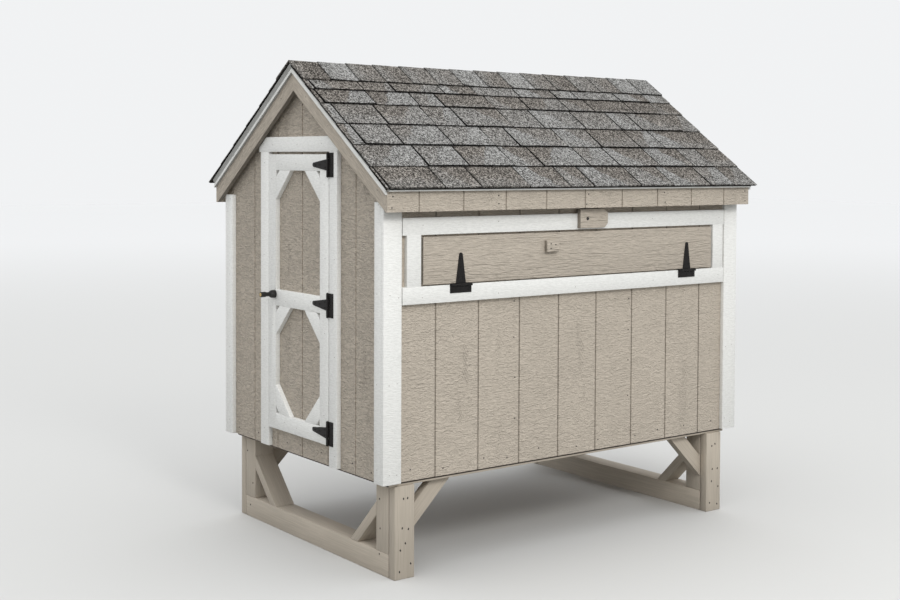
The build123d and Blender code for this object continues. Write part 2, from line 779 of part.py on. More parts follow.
def ridge_caps():
    """Bent caps over the ridge; each butt faces -X and laps the cap before it."""
    courses = len(course_butts())

    def wing_line(extra):
        """End of a wing and the apex of a line parallel to the top course, raised by extra."""
        height = bed_height(courses, CAP_WING) + extra
        base = shingle_bed + height - lean * CAP_WING
        apex_run = -base * math.sin(slope) / (math.cos(slope) + lean * math.sin(slope))
        apex = on_slope(apex_run, height - lean * (CAP_WING - apex_run))
        return on_slope(CAP_WING, height), apex

    (low_y, low_z), (_, apex_low) = wing_line(0.0)
    (high_y, high_z), (_, apex_high) = wing_line(SHINGLE)
    exposure = 2 * roof_end / CAP_COUNT
    climb = (apex_high - apex_low) / exposure
    outline = [
        (-low_y, low_z),
        (0, apex_low),
        (low_y, low_z),
        (high_y, high_z),
        (0, apex_high),
        (-high_y, high_z),
    ]
    caps = []
    for count in range(-1, CAP_COUNT):
        butt = -roof_end + count * exposure
        head = butt + 2 * exposure
        start = max(butt, -roof_end)
        end = min(head, roof_end)
        lift = climb * (head - start)
        section = Plane.YZ.offset(start) * Polygon(*outline, align=None)
        run = Vector(end - start, 0, -climb * (end - start))
        caps.append(Pos(0, 0, lift) * extrude(section, run.length, dir=run))
    return caps


# T-hinges
barrel_stand = BARREL_RADIUS + BARREL_CLEAR


def t_hinge(place, leaf_length, leaf_width):
    """Leaf, strap and pin of a hinge. Locally Z is its axis, X points along the strap, Y is out."""
    plate_y = (-barrel_stand, HINGE_PLATE - barrel_stand)
    leaf_z = (-leaf_length / 2, leaf_length / 2)
    bore = Cylinder(PIN_RADIUS + PIN_CLEAR, leaf_length)
    room = BARREL_RADIUS + 2 * KNUCKLE_GAP
    middle = STRAP_BASE / 2 + KNUCKLE_GAP
    leaf = board((-leaf_width, 0), plate_y, leaf_z) + Cylinder(BARREL_RADIUS, leaf_length)
    leaf -= board((-room, room), (-room, room), (-middle, middle))
    leaf -= bore
    tip = STRAP_LENGTH - STRAP_TIP
    half_base = STRAP_BASE / 2
    outline = Polygon((0, -half_base), (tip, -STRAP_TIP), (tip, STRAP_TIP), (0, half_base), align=None)
    outline += Pos(tip, 0) * Circle(STRAP_TIP)
    strap = extrude(Plane.XZ.offset(-plate_y[0]) * outline, HINGE_PLATE, dir=(0, 1, 0))
    strap += Cylinder(BARREL_RADIUS, STRAP_BASE)
    strap -= bore
    pin = Cylinder(PIN_RADIUS, leaf_length + 2 * PIN_END)
    return [place * piece for piece in (leaf, strap, pin)]


door_axis_y = door_low - DOOR_HINGE_GAP / 2
mid_rail_z = (door_bottom + DOOR_MID_RAIL, door_bottom + DOOR_MID_RAIL + DOOR_BOARD)


def door_hinges():
    heights = (
        door_bottom + DOOR_HINGE_INSET,
        (mid_rail_z[0] + mid_rail_z[1]) / 2,
        door_top - DOOR_HINGE_INSET,
    )
    x = -gable_trim - barrel_stand
    places = [
        Plane((x, door_axis_y, z + DOOR_HINGE_LIFT), x_dir=(0, 1, 0), z_dir=(0, 0, 1))
        for z in heights
    ]
    return [t_hinge(place, DOOR_LEAF, DOOR_LEAF_WIDTH) for place in places]


def egg_hinges():
    y = -wall_trim - barrel_stand
    places = [
        Plane((x + EGG_HINGE_SHIFT, y, egg_hinge_z), x_dir=(0, 0, 1), z_dir=(1, 0, 0))
        for x in (egg_x[0] + EGG_HINGE_END, egg_x[1] - EGG_HINGE_END)
    ]
    return [t_hinge(place, FLAP_LEAF, FLAP_LEAF_WIDTH) for place in places]


def ramp_hinges():
    y = wall_trim + barrel_stand
    places = [
        Plane((x, y, ramp_hinge_z), x_dir=(0, 0, 1), z_dir=(-1, 0, 0))
        for x in (ramp_middle - RAMP_HINGE_X, ramp_middle + RAMP_HINGE_X)
    ]
    return [t_hinge(place, FLAP_LEAF, FLAP_LEAF_WIDTH) for place in places]


# Walk-in door
knob_y = door_high - KNOB_FROM_EDGE
knob_z = door_bottom + KNOB_HEIGHT
knob_place = Plane((-gable_trim, knob_y, knob_z), x_dir=(0, 1, 0), z_dir=(-1, 0, 0))
cam_depth = gable_trim - half_length + CAM_GAP
inner_low = door_low + DOOR_BOARD
inner_high = door_high - LATCH_STILE


def spindle_bore():
    radius = SPINDLE_RADIUS + SPINDLE_CLEAR
    return knob_place * Pos(0, 0, -cam_depth / 2) * Cylinder(radius, cam_depth)


def door_panel():
    y = (door_way_y[0] + DOOR_PANEL_GAP, door_way_y[1] - DOOR_PANEL_GAP)
    z = (door_way_z[0] + DOOR_PANEL_GAP, door_way_z[1] - DOOR_PANEL_GAP)
    sheet = board(span(-1, half_length, gable_face), y, z)
    return [piece - spindle_bore() for piece in groove_gable([sheet], -1)]


def door_stiles():
    hinge_stile = board(door_x, (door_low, inner_low), (door_bottom, door_top))
    latch_stile = board(door_x, (inner_high, door_high), (door_bottom, door_top))
    return [hinge_stile, latch_stile - spindle_bore()]


low_rail_z = (door_bottom, door_bottom + DOOR_BOARD)
top_rail_z = (door_top - DOOR_BOARD, door_top)


def door_rails():
    return [board(door_x, (inner_low, inner_high), z) for z in (low_rail_z, mid_rail_z, top_rail_z)]


def door_corner_braces():
    """Boards at 45 degrees across the door's corners: four below, two above."""
    long_leg = BRACE_CORNER + CORNER_BRACE * math.sqrt(2)
    corners = []
    for y, in_y in ((inner_low, 1), (inner_high, -1)):
        corners += [
            (y, in_y, low_rail_z[1], 1),
            (y, in_y, mid_rail_z[0], -1),
            (y, in_y, top_rail_z[0], -1),
        ]
    pieces = []
    for y, in_y, z, in_z in corners:
        outline = [
            (y + in_y * BRACE_CORNER, z),
            (y + in_y * long_leg, z),
            (y, z + in_z * long_leg),
            (y, z + in_z * BRACE_CORNER),
        ]
        pieces.append(along_x(outline, door_x))
    return pieces


def knob_rose():
    rose = Pos(0, 0, ROSE_LENGTH / 2) * Cylinder(ROSE_RADIUS, ROSE_LENGTH)
    rose = chamfer(rose.edges().group_by(Axis.Z)[-1], ROSE_BEVEL)
    rose -= Pos(0, 0, ROSE_LENGTH / 2) * Cylinder(NECK_RADIUS + SPINDLE_CLEAR, ROSE_LENGTH)
    return [knob_place * rose]


def door_knob():
    """Knob, neck and the spindle that runs through the door to the cam."""
    knob = Pos(0, 0, NECK_LENGTH + KNOB_LENGTH / 2) * Cylinder(KNOB_RADIUS, KNOB_LENGTH)
    knob = chamfer(knob.edges().filter_by(GeomType.CIRCLE), KNOB_BEVEL)
    neck_start = 2 * SPINDLE_CLEAR
    neck = NECK_LENGTH - neck_start
    knob += Pos(0, 0, neck_start + neck / 2) * Cylinder(NECK_RADIUS, neck)
    inside = cam_depth + CAM_THICKNESS + SPINDLE_END
    knob += Pos(0, 0, (neck_start - inside) / 2) * Cylinder(SPINDLE_RADIUS, inside + neck_start)
    return [knob_place * knob]


def lock_cam():
    """Bar on the spindle, hanging down when unlatched."""
    x = (cam_depth - gable_trim, cam_depth - gable_trim + CAM_THICKNESS)
    middle = (x[0] + x[1]) / 2
    half = CAM_WIDTH / 2
    cam = board(x, (knob_y - half, knob_y + half), (knob_z - CAM_REACH + half, knob_z))
    for z in (knob_z, knob_z - CAM_REACH + half):
        cam += Pos(middle, knob_y, z) * Rot(0, 90, 0) * Cylinder(half, CAM_THICKNESS)
    return [cam - Pos(middle, knob_y, knob_z) * Rot(0, 90, 0) * Cylinder(SPINDLE_RADIUS, CAM_THICKNESS)]


# Egg door, ramp door and turn buttons
def egg_door_panel():
    return [board(egg_x, egg_y, (egg_bottom, egg_top))]


def egg_door_pull():
    x = (PULL_X - PULL_LENGTH / 2, PULL_X + PULL_LENGTH / 2)
    z = (egg_top - PULL_DROP - PULL_HEIGHT, egg_top - PULL_DROP)
    pull = board(x, span(-1, wall_trim, wall_trim + BOARD), z)
    return [chamfer(pull.faces().sort_by(Axis.Y)[0].edges(), PULL_EDGE)]


def turn_button(pivot, side, width, length):
    """Wooden button on a screw, pointing along +X, with a clipped swinging end."""
    half = width / 2
    tail = half
    tip = length - tail
    outline = [
        (pivot[0] - tail, pivot[1] - half),
        (pivot[0] + tip - BUTTON_CLIP, pivot[1] - half),
        (pivot[0] + tip, pivot[1] - half + BUTTON_CLIP),
        (pivot[0] + tip, pivot[1] + half - BUTTON_CLIP),
        (pivot[0] + tip - BUTTON_CLIP, pivot[1] + half),
        (pivot[0] - tail, pivot[1] + half),
    ]
    y = span(side, wall_trim + BUTTON_GAP, wall_trim + BUTTON_GAP + BOARD)
    return [along_y(outline, y) - pivot_bore(pivot, y, SCREW_RADIUS + SCREW_CLEAR)]


def button_screws():
    """Round-headed screws that the turn buttons swing on."""
    pieces = []
    for pivot, side in ((egg_pivot, -1), (ramp_pivot, 1)):
        head_at = wall_trim + BUTTON_GAP + BOARD
        screw = pivot_bore(pivot, span(side, wall_face + SCREW_SHORT, head_at), SCREW_RADIUS)
        head = pivot_bore(pivot, span(side, head_at, head_at + SCREW_HEAD_HEIGHT), SCREW_HEAD)
        rim = head.edges().sort_by(Axis.Y)[-1 if side > 0 else 0]
        pieces.append(screw + chamfer(rim, SCREW_HEAD_HEIGHT / 2))
    return pieces


def ramp_panel():
    return [board(ramp_x, ramp_y, (ramp_bottom, ramp_top))]


def ramp_cleats():
    """Foot cleats on the ramp's inner face, within the wall opening."""
    x = (ramp_way_x[0] + CLEAT_END, ramp_way_x[1] - CLEAT_END)
    y = (wall_face - CLEAT, wall_face)
    step = (ramp_way_z[1] - ramp_way_z[0]) / CLEAT_COUNT
    pieces = []
    for count in range(CLEAT_COUNT):
        middle = ramp_way_z[0] + (count + 0.5) * step
        pieces.append(board(x, y, (middle - CLEAT / 2, middle + CLEAT / 2)))
    return pieces


# Nest boxes and roosts
def nest_floor():
    y = (-half_width, nest_front)
    return [board((-egg_way_half, egg_way_half), y, (nest_floor_bottom, nest_floor_top))]


def nest_dividers():
    """Partitions, notched round the lintel over the egg opening."""
    inside = nest_front - BOARD
    top = nest_floor_top + NEST_HEIGHT
    outline = [
        (-half_width, nest_floor_top),
        (inside, nest_floor_top),
        (inside, top),
        (-stud_face, top),
        (-stud_face, egg_way_z[1]),
        (-half_width, egg_way_z[1]),
    ]
    step = (2 * egg_way_half - NEST_PLY) / NEST_COUNT
    pieces = []
    for count in range(NEST_COUNT + 1):
        start = -egg_way_half + count * step
        pieces.append(along_x(outline, (start, start + NEST_PLY)))
    return pieces


def nest_front_board():
    y = (nest_front - BOARD, nest_front)
    return [board((-egg_way_half, egg_way_half), y, (nest_floor_top, nest_floor_top + NEST_FRONT_HEIGHT))]


def nest_beam():
    """Beam under the nests' front edge, from gable stud to gable stud."""
    y = (nest_front - LUMBER, nest_front)
    inner = half_length - STUD
    return [board((-inner, inner), y, (nest_floor_bottom - STUD, nest_floor_bottom))]


def rounded_rail(x, y, z, axis, radius):
    """Perch or roost with its upper edges rounded for the hens' feet."""
    rail = board(x, y, z)
    return fillet(rail.edges().filter_by(axis).group_by(Axis.Z)[-1], radius)


def nest_perch():
    """Perch along the nests and the arms that hold it off the beam."""
    far = nest_front + PERCH_REACH
    arm_top = nest_floor_bottom - LUMBER
    perch_z = (arm_top, nest_floor_bottom)
    perch_x = (-egg_way_half, egg_way_half)
    pieces = [rounded_rail(perch_x, (far - LUMBER, far), perch_z, Axis.X, PERCH_ROUND)]
    for x in (-ROOST_X[1], 0, ROOST_X[1]):
        arm_x = (x - LUMBER / 2, x + LUMBER / 2)
        pieces.append(board(arm_x, (nest_front, far), (nest_floor_bottom - STUD, arm_top)))
    return pieces


roost_top = nest_floor_bottom - ROOST_DROP
roost_bottom = roost_top - LUMBER


def roost_bars():
    y = (-stud_face, stud_face)
    bars = []
    for x in ROOST_X:
        bar_x = (x - LUMBER / 2, x + LUMBER / 2)
        bars.append(rounded_rail(bar_x, y, (roost_bottom, roost_top), Axis.Y, PERCH_ROUND))
    return bars


def roost_cleats():
    pieces = []
    for x in ROOST_X:
        cleat_x = (x - LUMBER, x + LUMBER)
        cleat_y = (stud_face - BOARD, stud_face)
        pieces += both_sides(board(cleat_x, cleat_y, (roost_bottom - ROOST_CLEAT, roost_bottom)))
    return pieces


def named_pieces():
    """Every node's name with its solids."""
    skid_front, skid_rear = skids()
    door_sets = door_hinges()
    egg_sets = egg_hinges()
    ramp_sets = ramp_hinges()
    slope_shingles = shingles()
    return {
        "skid_front": [skid_front],
        "skid_rear": [skid_rear],
        "leg_planks": leg_planks(),
        "leg_posts": leg_posts(),
        "skid_braces": skid_braces(),
        "floor_braces": floor_braces(),
        "floor_frame": floor_frame(),
        "floor_deck": floor_deck(),
        "wall_frame_front": wall_frame_front(),
        "wall_frame_rear": wall_frame_rear(),
        "wall_frame_egg_side": wall_frame_egg_side(),
        "wall_frame_ramp_side": wall_frame_ramp_side(),
        "siding_front": siding_front(),
        "siding_rear": siding_rear(),
        "siding_egg_side": siding_long_wall(-1, (-egg_way_half, egg_way_half), egg_way_z),
        "siding_ramp_side": siding_long_wall(1, ramp_way_x, ramp_way_z),
        "corner_trims_front": corner_trims(-1),
        "corner_trims_rear": corner_trims(1),
        "door_jambs": door_jambs(),
        "door_header": door_header(),
        "egg_frame": egg_frame(),
        "ramp_frame": ramp_frame(),
        "rafters": rafters(),
        "ridge_board": ridge_board(),
        "rake_spacers": rake_strip((gable_face, gable_trim), spacer_plumb),
        "rake_boards": rake_strip((gable_trim, rake_face), rake_plumb),
        "eave_fascias": eave_fascias(),
        "roof_deck": roof_deck(),
        "roof_felt": roof_felt(),
        "drip_edge_eaves": drip_edge_eaves(),
        "drip_edge_rakes": drip_edge_rakes(),
        "shingles_egg_side": [Rot(0, 0, 180) * piece for piece in slope_shingles],
        "shingles_ramp_side": slope_shingles,
        "ridge_caps": ridge_caps(),
        "hinge_leaves": [leaf for leaf, strap, pin in door_sets + egg_sets + ramp_sets],
        "hinge_pins": [pin for leaf, strap, pin in door_sets + egg_sets + ramp_sets],
        "door_panel": door_panel(),
        "door_stiles": door_stiles(),
        "door_rails": door_rails(),
        "door_corner_braces": door_corner_braces(),
        "door_hinge_straps": [strap for leaf, strap, pin in door_sets],
        "knob_rose": knob_rose(),
        "door_knob": door_knob(),
        "lock_cam": lock_cam(),
        "egg_door_panel": egg_door_panel(),
        "egg_door_pull": egg_door_pull(),
        "egg_hinge_straps": [strap for leaf, strap, pin in egg_sets],
        "egg_turn_button": turn_button(egg_pivot, -1, EGG_BUTTON_WIDTH, EGG_BUTTON_LENGTH),
        "ramp_turn_button": turn_button(ramp_pivot, 1, RAMP_BUTTON_WIDTH, RAMP_BUTTON_LENGTH),
        "button_screws": button_screws(),
        "ramp_panel": ramp_panel(),
        "ramp_cleats": ramp_cleats(),
        "ramp_hinge_straps": [strap for leaf, strap, pin in ramp_sets],
        "nest_floor": nest_floor(),
        "nest_dividers": nest_dividers(),
        "nest_front_board": nest_front_board(),
        "nest_beam": nest_beam(),
        "nest_perch": nest_perch(),
        "roost_bars": roost_bars(),
        "roost_cleats": roost_cleats(),
    }


os.makedirs("parts", exist_ok=True)
for name, pieces in named_pieces().items():
    solids = [solid for piece in pieces for solid in piece.solids()]
    export_step(Compound(solids), f"parts/{name}.step")

print(f"hinge axes: door y {door_axis_y:.2f}, egg z {egg_hinge_z:.2f}, ramp z {ramp_hinge_z:.2f}")
print(f"pivots: egg button {egg_pivot}, ramp button {ramp_pivot}, knob y {knob_y:.1f} z {knob_z:.1f}")
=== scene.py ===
# %% [markdown]
# # A raised chicken coop, board by board
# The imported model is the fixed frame: every board, hinge and roof sheet already sits in its place.
# This notebook eases the boards' edges, lays the shingles tab by tab, drives the nails and screws
# and mixes the paints. Lengths are metres, X runs along the ridge and the egg door faces -Y.

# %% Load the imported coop
import json
import math
import random

import bmesh
import bpy
from mathutils import Matrix, Vector


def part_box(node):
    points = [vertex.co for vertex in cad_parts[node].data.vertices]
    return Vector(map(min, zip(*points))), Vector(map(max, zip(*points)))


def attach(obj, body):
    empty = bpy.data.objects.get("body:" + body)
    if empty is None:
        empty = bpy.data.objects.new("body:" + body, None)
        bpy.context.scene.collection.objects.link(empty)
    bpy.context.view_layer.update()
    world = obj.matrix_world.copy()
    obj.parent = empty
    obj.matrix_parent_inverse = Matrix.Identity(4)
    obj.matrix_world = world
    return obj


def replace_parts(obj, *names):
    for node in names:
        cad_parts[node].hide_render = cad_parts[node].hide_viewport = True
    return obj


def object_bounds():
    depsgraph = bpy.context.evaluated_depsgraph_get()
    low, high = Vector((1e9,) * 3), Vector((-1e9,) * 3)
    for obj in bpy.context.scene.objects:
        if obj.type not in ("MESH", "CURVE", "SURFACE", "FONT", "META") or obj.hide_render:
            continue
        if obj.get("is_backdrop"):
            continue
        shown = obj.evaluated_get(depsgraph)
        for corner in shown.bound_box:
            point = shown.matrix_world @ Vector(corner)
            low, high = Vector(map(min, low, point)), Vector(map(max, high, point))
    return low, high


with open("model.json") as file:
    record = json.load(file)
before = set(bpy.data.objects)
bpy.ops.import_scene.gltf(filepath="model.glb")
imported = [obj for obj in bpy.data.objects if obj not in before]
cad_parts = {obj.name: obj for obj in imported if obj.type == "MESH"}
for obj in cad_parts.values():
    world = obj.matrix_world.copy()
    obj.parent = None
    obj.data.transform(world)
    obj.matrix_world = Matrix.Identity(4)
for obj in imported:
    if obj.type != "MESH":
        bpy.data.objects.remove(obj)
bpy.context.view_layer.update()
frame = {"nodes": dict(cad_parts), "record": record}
nodes = frame["nodes"]
bodies = frame["record"]["behaviour"]["bodies"]
body_of = {node: body for body, names in bodies.items() for node in names}
dice = random.Random(38)

# %% [markdown]
# ## Tools for shader nodes
# Every finish below is a small graph. A few helpers keep the graphs readable: one adds a node and
# fills its inputs by name, some do arithmetic or mix colours, and one opens a node group, which is
# how an effect that several paints share is built once. A socket knows the graph it belongs to, so
# helpers that are given sockets ask them where to add their node.

# %% Nodes and arithmetic
def add(tree, kind, inputs=None, **properties):
    """New shader node; an input value that is a socket gets a link."""
    node = tree.nodes.new("ShaderNode" + kind)
    for name, value in properties.items():
        setattr(node, name, value)
    for name, value in (inputs or {}).items():
        if isinstance(value, bpy.types.NodeSocket):
            tree.links.new(value, node.inputs[name])
        else:
            node.inputs[name].default_value = value
    return node


def tree_of(*values):
    """Node tree of the first value that is a socket."""
    return next(value.id_data for value in values if isinstance(value, bpy.types.NodeSocket))


def calc(operation, first, second=0.0):
    """Output of one math node."""
    return add(tree_of(first, second), "Math", {0: first, 1: second}, operation=operation).outputs[0]


def plus(first, second):
    return calc("ADD", first, second)


def minus(first, second):
    return calc("SUBTRACT", first, second)


def times(first, second):
    return calc("MULTIPLY", first, second)


def between(share, first, second):
    """Value a share of the way from the first to the second."""
    return plus(first, times(share, minus(second, first)))


def fade(value, low, high, to_low=0.0, to_high=1.0):
    """Value mapped smoothly from one range to another."""
    inputs = {"Value": value, "From Min": low, "From Max": high, "To Min": to_low, "To Max": to_high}
    return add(value.id_data, "MapRange", inputs, interpolation_type="SMOOTHSTEP").outputs[0]


def axes(vector):
    """X, Y and Z of a vector, by name."""
    return add(vector.id_data, "SeparateXYZ", {0: vector}).outputs


def joined(**parts):
    """Vector from sockets named X, Y and Z."""
    return add(tree_of(*parts.values()), "CombineXYZ", parts).outputs[0]


def noise(vector, scale, detail, distortion=0.0):
    """Soft random pattern between nil and one."""
    inputs = {"Vector": vector, "Scale": scale, "Detail": detail, "Distortion": distortion}
    return add(vector.id_data, "TexNoise", inputs).outputs["Fac"]


def mixed(factor, first, second, how="MIX"):
    """Colour output of a mix node."""
    tree = tree_of(factor, first, second)
    return add(tree, "Mix", {0: factor, 6: first, 7: second}, data_type="RGBA", blend_type=how).outputs[2]


def toned(colour, share):
    """Colour made lighter or darker by a factor."""
    return add(colour.id_data, "VectorMath", {0: colour, "Scale": share}, operation="SCALE").outputs[0]


print("node helpers ready")

# %% Groups and finishes
def open_group(name, inputs, outputs):
    """Empty node group with named sockets; returns its tree, what it is given and what it has to give."""
    tree = bpy.data.node_groups.new(name, "ShaderNodeTree")
    for way, sockets in (("INPUT", inputs), ("OUTPUT", outputs)):
        for label, kind in sockets.items():
            tree.interface.new_socket(label, in_out=way, socket_type="NodeSocket" + kind)
    return tree, tree.nodes.new("NodeGroupInput").outputs, tree.nodes.new("NodeGroupOutput").inputs


def place(tree, group, **inputs):
    """Outputs of a copy of a node group inside a material, with its inputs set."""
    inputs = {name.capitalize(): value for name, value in inputs.items()}
    return add(tree, "Group", inputs, node_tree=group).outputs


def new_finish(name, roughness, specular=0.5, **sockets):
    """Material with a Principled shader whose constant sockets are set by name."""
    material = bpy.data.materials.new(name)
    material.use_nodes = True
    tree = material.node_tree
    tree.nodes.clear()
    shader = add(tree, "BsdfPrincipled", {"Roughness": roughness, "Specular IOR Level": specular, **sockets})
    tree.links.new(shader.outputs["BSDF"], add(tree, "OutputMaterial").inputs["Surface"])
    return material, tree, shader


def feed(shader, colour, height, relief, strength=1.0):
    """Feed a colour and a height into a shader."""
    tree = shader.id_data
    tree.links.new(colour, shader.inputs["Base Color"])
    node = add(tree, "Bump", {"Height": height, "Distance": relief, "Strength": strength})
    tree.links.new(node.outputs["Normal"], shader.inputs["Normal"])


def object_spot(tree):
    """Place on the part, in metres."""
    return add(tree, "TexCoord").outputs["Object"]


def outward(tree):
    """X, Y and Z of the way a face looks."""
    return axes(add(tree, "NewGeometry").outputs["Normal"])


print("groups and finishes ready")

# %% [markdown]
# ## Effects that several finishes share
# Sawn wood shows streaks that are long along the board and narrow across it, so the grain group
# squeezes a noise pattern to a given length and width. Curved growth lines are the crests of a wave
# whose phase is such a noise. Weathering lays broad, faint blotches over a paint and darkens it towards
# the ground, where rain splashes up.

# %% Grain, growth lines and weathering
FINE_SCALE = 2.7
FINE_SHARE = 0.3
RING_TURNS = 26.0
BLOTCH_SCALE = 3.2
SPLASH_ZONE = (0.05, 0.75)


def squeezed(vector, along, across):
    """A place with X divided by one length, and Y and Z by another."""
    lengths = joined(X=along, Y=across, Z=across)
    return add(vector.id_data, "VectorMath", {0: vector, 1: lengths}, operation="DIVIDE").outputs[0]


tree, given, result = open_group(
    "Sawn grain",
    {"Vector": "Vector", "Length": "Float", "Width": "Float", "Wander": "Float"},
    {"Height": "Float", "Streak": "Float"},
)
spot = squeezed(given["Vector"], given["Length"], given["Width"])
broad = noise(spot, 1.0, 2.0, given["Wander"])
fine = noise(spot, FINE_SCALE, 3.0)
height = plus(times(broad, 1.0 - FINE_SHARE), times(fine, FINE_SHARE))
tree.links.new(height, result["Height"])
tree.links.new(fade(broad, 0.35, 0.65), result["Streak"])
grain_group = tree

tree, given, result = open_group(
    "Growth lines", {"Vector": "Vector", "Spacing": "Float", "Run": "Float"}, {"Line": "Float"})
drift = noise(squeezed(given["Vector"], given["Run"], given["Spacing"]), 0.35, 2.0)
wave = calc("SINE", times(drift, RING_TURNS))
tree.links.new(fade(wave, 0.55, 1.0), result["Line"])
rings_group = tree

tree, given, result = open_group(
    "Weathering",
    {"Colour": "Color", "Vector": "Vector", "Blotch": "Float", "Splash": "Float"},
    {"Colour": "Color"},
)
cloud = noise(given["Vector"], BLOTCH_SCALE, 4.0)
swing = times(minus(cloud, 0.5), given["Blotch"])
low_zone = fade(axes(given["Vector"])["Z"], *SPLASH_ZONE, 1.0, 0.0)
level = minus(plus(1.0, swing), times(low_zone, given["Splash"]))
tree.links.new(toned(given["Colour"], level), result["Colour"])
weather_group = tree
print("shared groups:", [g.name for g in bpy.data.node_groups])

# %% [markdown]
# ## Siding paint
# The wall sheets are pressed with a rough-sawn pattern: short ripples that run level across upright
# planks, and here and there a flat patch with the arched lines of a sawn heart. A groove every eight
# inches tells the planks apart. The grooves are cut in the model, and the paint only tones them: with painted
# shade on the long walls and the fascias, with painted light on the gables. The ripples' hollows get painted
# shade too, and the long walls a lighter copy of the paint than the gables, as painted light. Level and
# upright distances come from Object coordinates: on a side wall X runs level and on a gable Y does, so their
# sum serves both.

# %% Ripples and heart lines
TAUPE = (0.505, 0.447, 0.376, 1.0)
GROOVE_PITCH = 0.2032
GROOVE_HALF = 0.0034
GROOVE_SOFT = 0.0012
HEART_HALF = 0.032
HEART_STRAY = 0.06
HEART_ARCH = 2.0
HEART_RATE = 300.0
HEART_WANDER = 14.0
HEART_BROWN = (0.24, 0.21, 0.17, 1.0)
GOLDEN = 0.618


def lighter_or_darker(colour, share):
    """Paint made lighter or darker by a factor, for painted light and shade as well as for tone."""
    return (*(share * value for value in colour[:3]), 1.0)


def level_and_up(parts):
    """Distance along a wall in X and height in Y."""
    return joined(X=plus(parts["X"], parts["Y"]), Y=parts["Z"])


def heart_lines(across, up, plank):
    """Arched lines near the middle of some planks, as a mask."""
    chance = calc("FRACT", plus(times(plank, GOLDEN), 0.804))
    centre = minus(across, times(minus(chance, 0.5), HEART_STRAY))
    aside = calc("ABSOLUTE", centre)
    wander = noise(joined(X=times(centre, 20.0), Y=times(up, 5.0), Z=times(chance, 90.0)), 1.0, 3.0)
    arch = plus(up, times(aside, HEART_ARCH))
    phase = plus(times(arch, HEART_RATE), times(wander, HEART_WANDER))
    line = fade(calc("SINE", phase), 0.2, 0.9)
    near = fade(aside, HEART_HALF * 0.5, HEART_HALF, 1.0, 0.0)
    patch = times(fade(wander, 0.48, 0.6), fade(chance, 0.3, 0.95, 0.08, 1.0))
    return times(line, times(near, patch))


print("siding pattern ready, planks", GROOVE_PITCH, "wide")

# %% Taupe siding
def siding_paint(name, axis, groove_at, light, groove_light, hollow_shade, relief):
    """Embossed taupe paint; axis is the level direction of the sheets.

    The groove light paints the grooves darker below one and lighter above it, and the hollow shade paints
    shade into the ripples' hollows; light makes the whole paint lighter, a painted light that differs from
    wall to wall.
    """
    material, tree, shader = new_finish(name, 0.75, 0.25)
    spot = object_spot(tree)
    parts = axes(spot)
    ripple = place(tree, grain_group, vector=level_and_up(parts), length=0.026, width=0.0085, wander=1.3)
    height = ripple["Height"]
    turns = calc("DIVIDE", minus(parts[axis], groove_at), GROOVE_PITCH)
    across = times(minus(calc("FRACT", turns), 0.5), GROOVE_PITCH)
    heart = heart_lines(across, parts["Z"], calc("FLOOR", turns))
    reach = minus(GROOVE_PITCH / 2, calc("ABSOLUTE", across))
    # The grooves get painted shade where the groove light is below one and painted light where it is above.
    groove = fade(reach, GROOVE_HALF, GROOVE_HALF + GROOVE_SOFT, groove_light, 1.0)
    # The ripples' hollows get painted shade, and light lightens the whole paint as painted light.
    paint = mixed(fade(height, 0.4, 0.58), lighter_or_darker(TAUPE, hollow_shade * light), lighter_or_darker(TAUPE, light))
    paint = mixed(times(heart, 0.06), paint, HEART_BROWN)
    paint = place(tree, weather_group, colour=paint, vector=spot, blotch=0.16, splash=0.06)["Colour"]
    feed(shader, toned(paint, groove), minus(height, times(heart, 0.3)), relief)
    return material


# Long walls and fascias get a lighter copy of the paint than the gables, as painted light; their grooves get
# painted shade, the gables' grooves painted light.
side_siding = siding_paint("taupe siding on the long walls", "X", groove_at=-0.0886, light=1.12,
                           groove_light=0.8, hollow_shade=0.9, relief=0.011)
gable_siding = siding_paint("taupe siding on the gables", "Y", groove_at=-0.008, light=1.08,
                            groove_light=1.15, hollow_shade=0.76, relief=0.013)
fascia_siding = siding_paint("taupe siding on the fascias", "X", groove_at=-0.0102, light=1.14,
                             groove_light=0.9, hollow_shade=0.9, relief=0.011)


def coat(material, *names):
    """Give carried-over nodes a finish."""
    for name in names:
        for slot in nodes[name].material_slots:
            slot.material = material


coat(side_siding, "siding_egg_side", "siding_ramp_side")
coat(gable_siding, "siding_front", "siding_rear", "door_panel")
coat(fascia_siding, "eave_fascias")
print("siding painted")

# %% [markdown]
# ## Paint on boards
# A board's grain follows the board, whichever way the board lies, so these paints read a UV map that
# the boards get below: U runs along the grain and V across it, both in metres. A face attribute makes
# each board a touch lighter or darker than its neighbour. The white trim is pressed like the siding, so
# its ripples run level in place of a grain.

# %% Board paints
SIDING_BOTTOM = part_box("siding_egg_side")[0].z
# Near-black painted shade for the recess under the siding.
RIM_SHADE = (0.05, 0.036, 0.03, 1)
TAUPE_DARK = (0.368, 0.324, 0.270, 1.0)
LUMBER = (0.555, 0.491, 0.409, 1)
LUMBER_DARK = (0.49, 0.434, 0.36, 1)


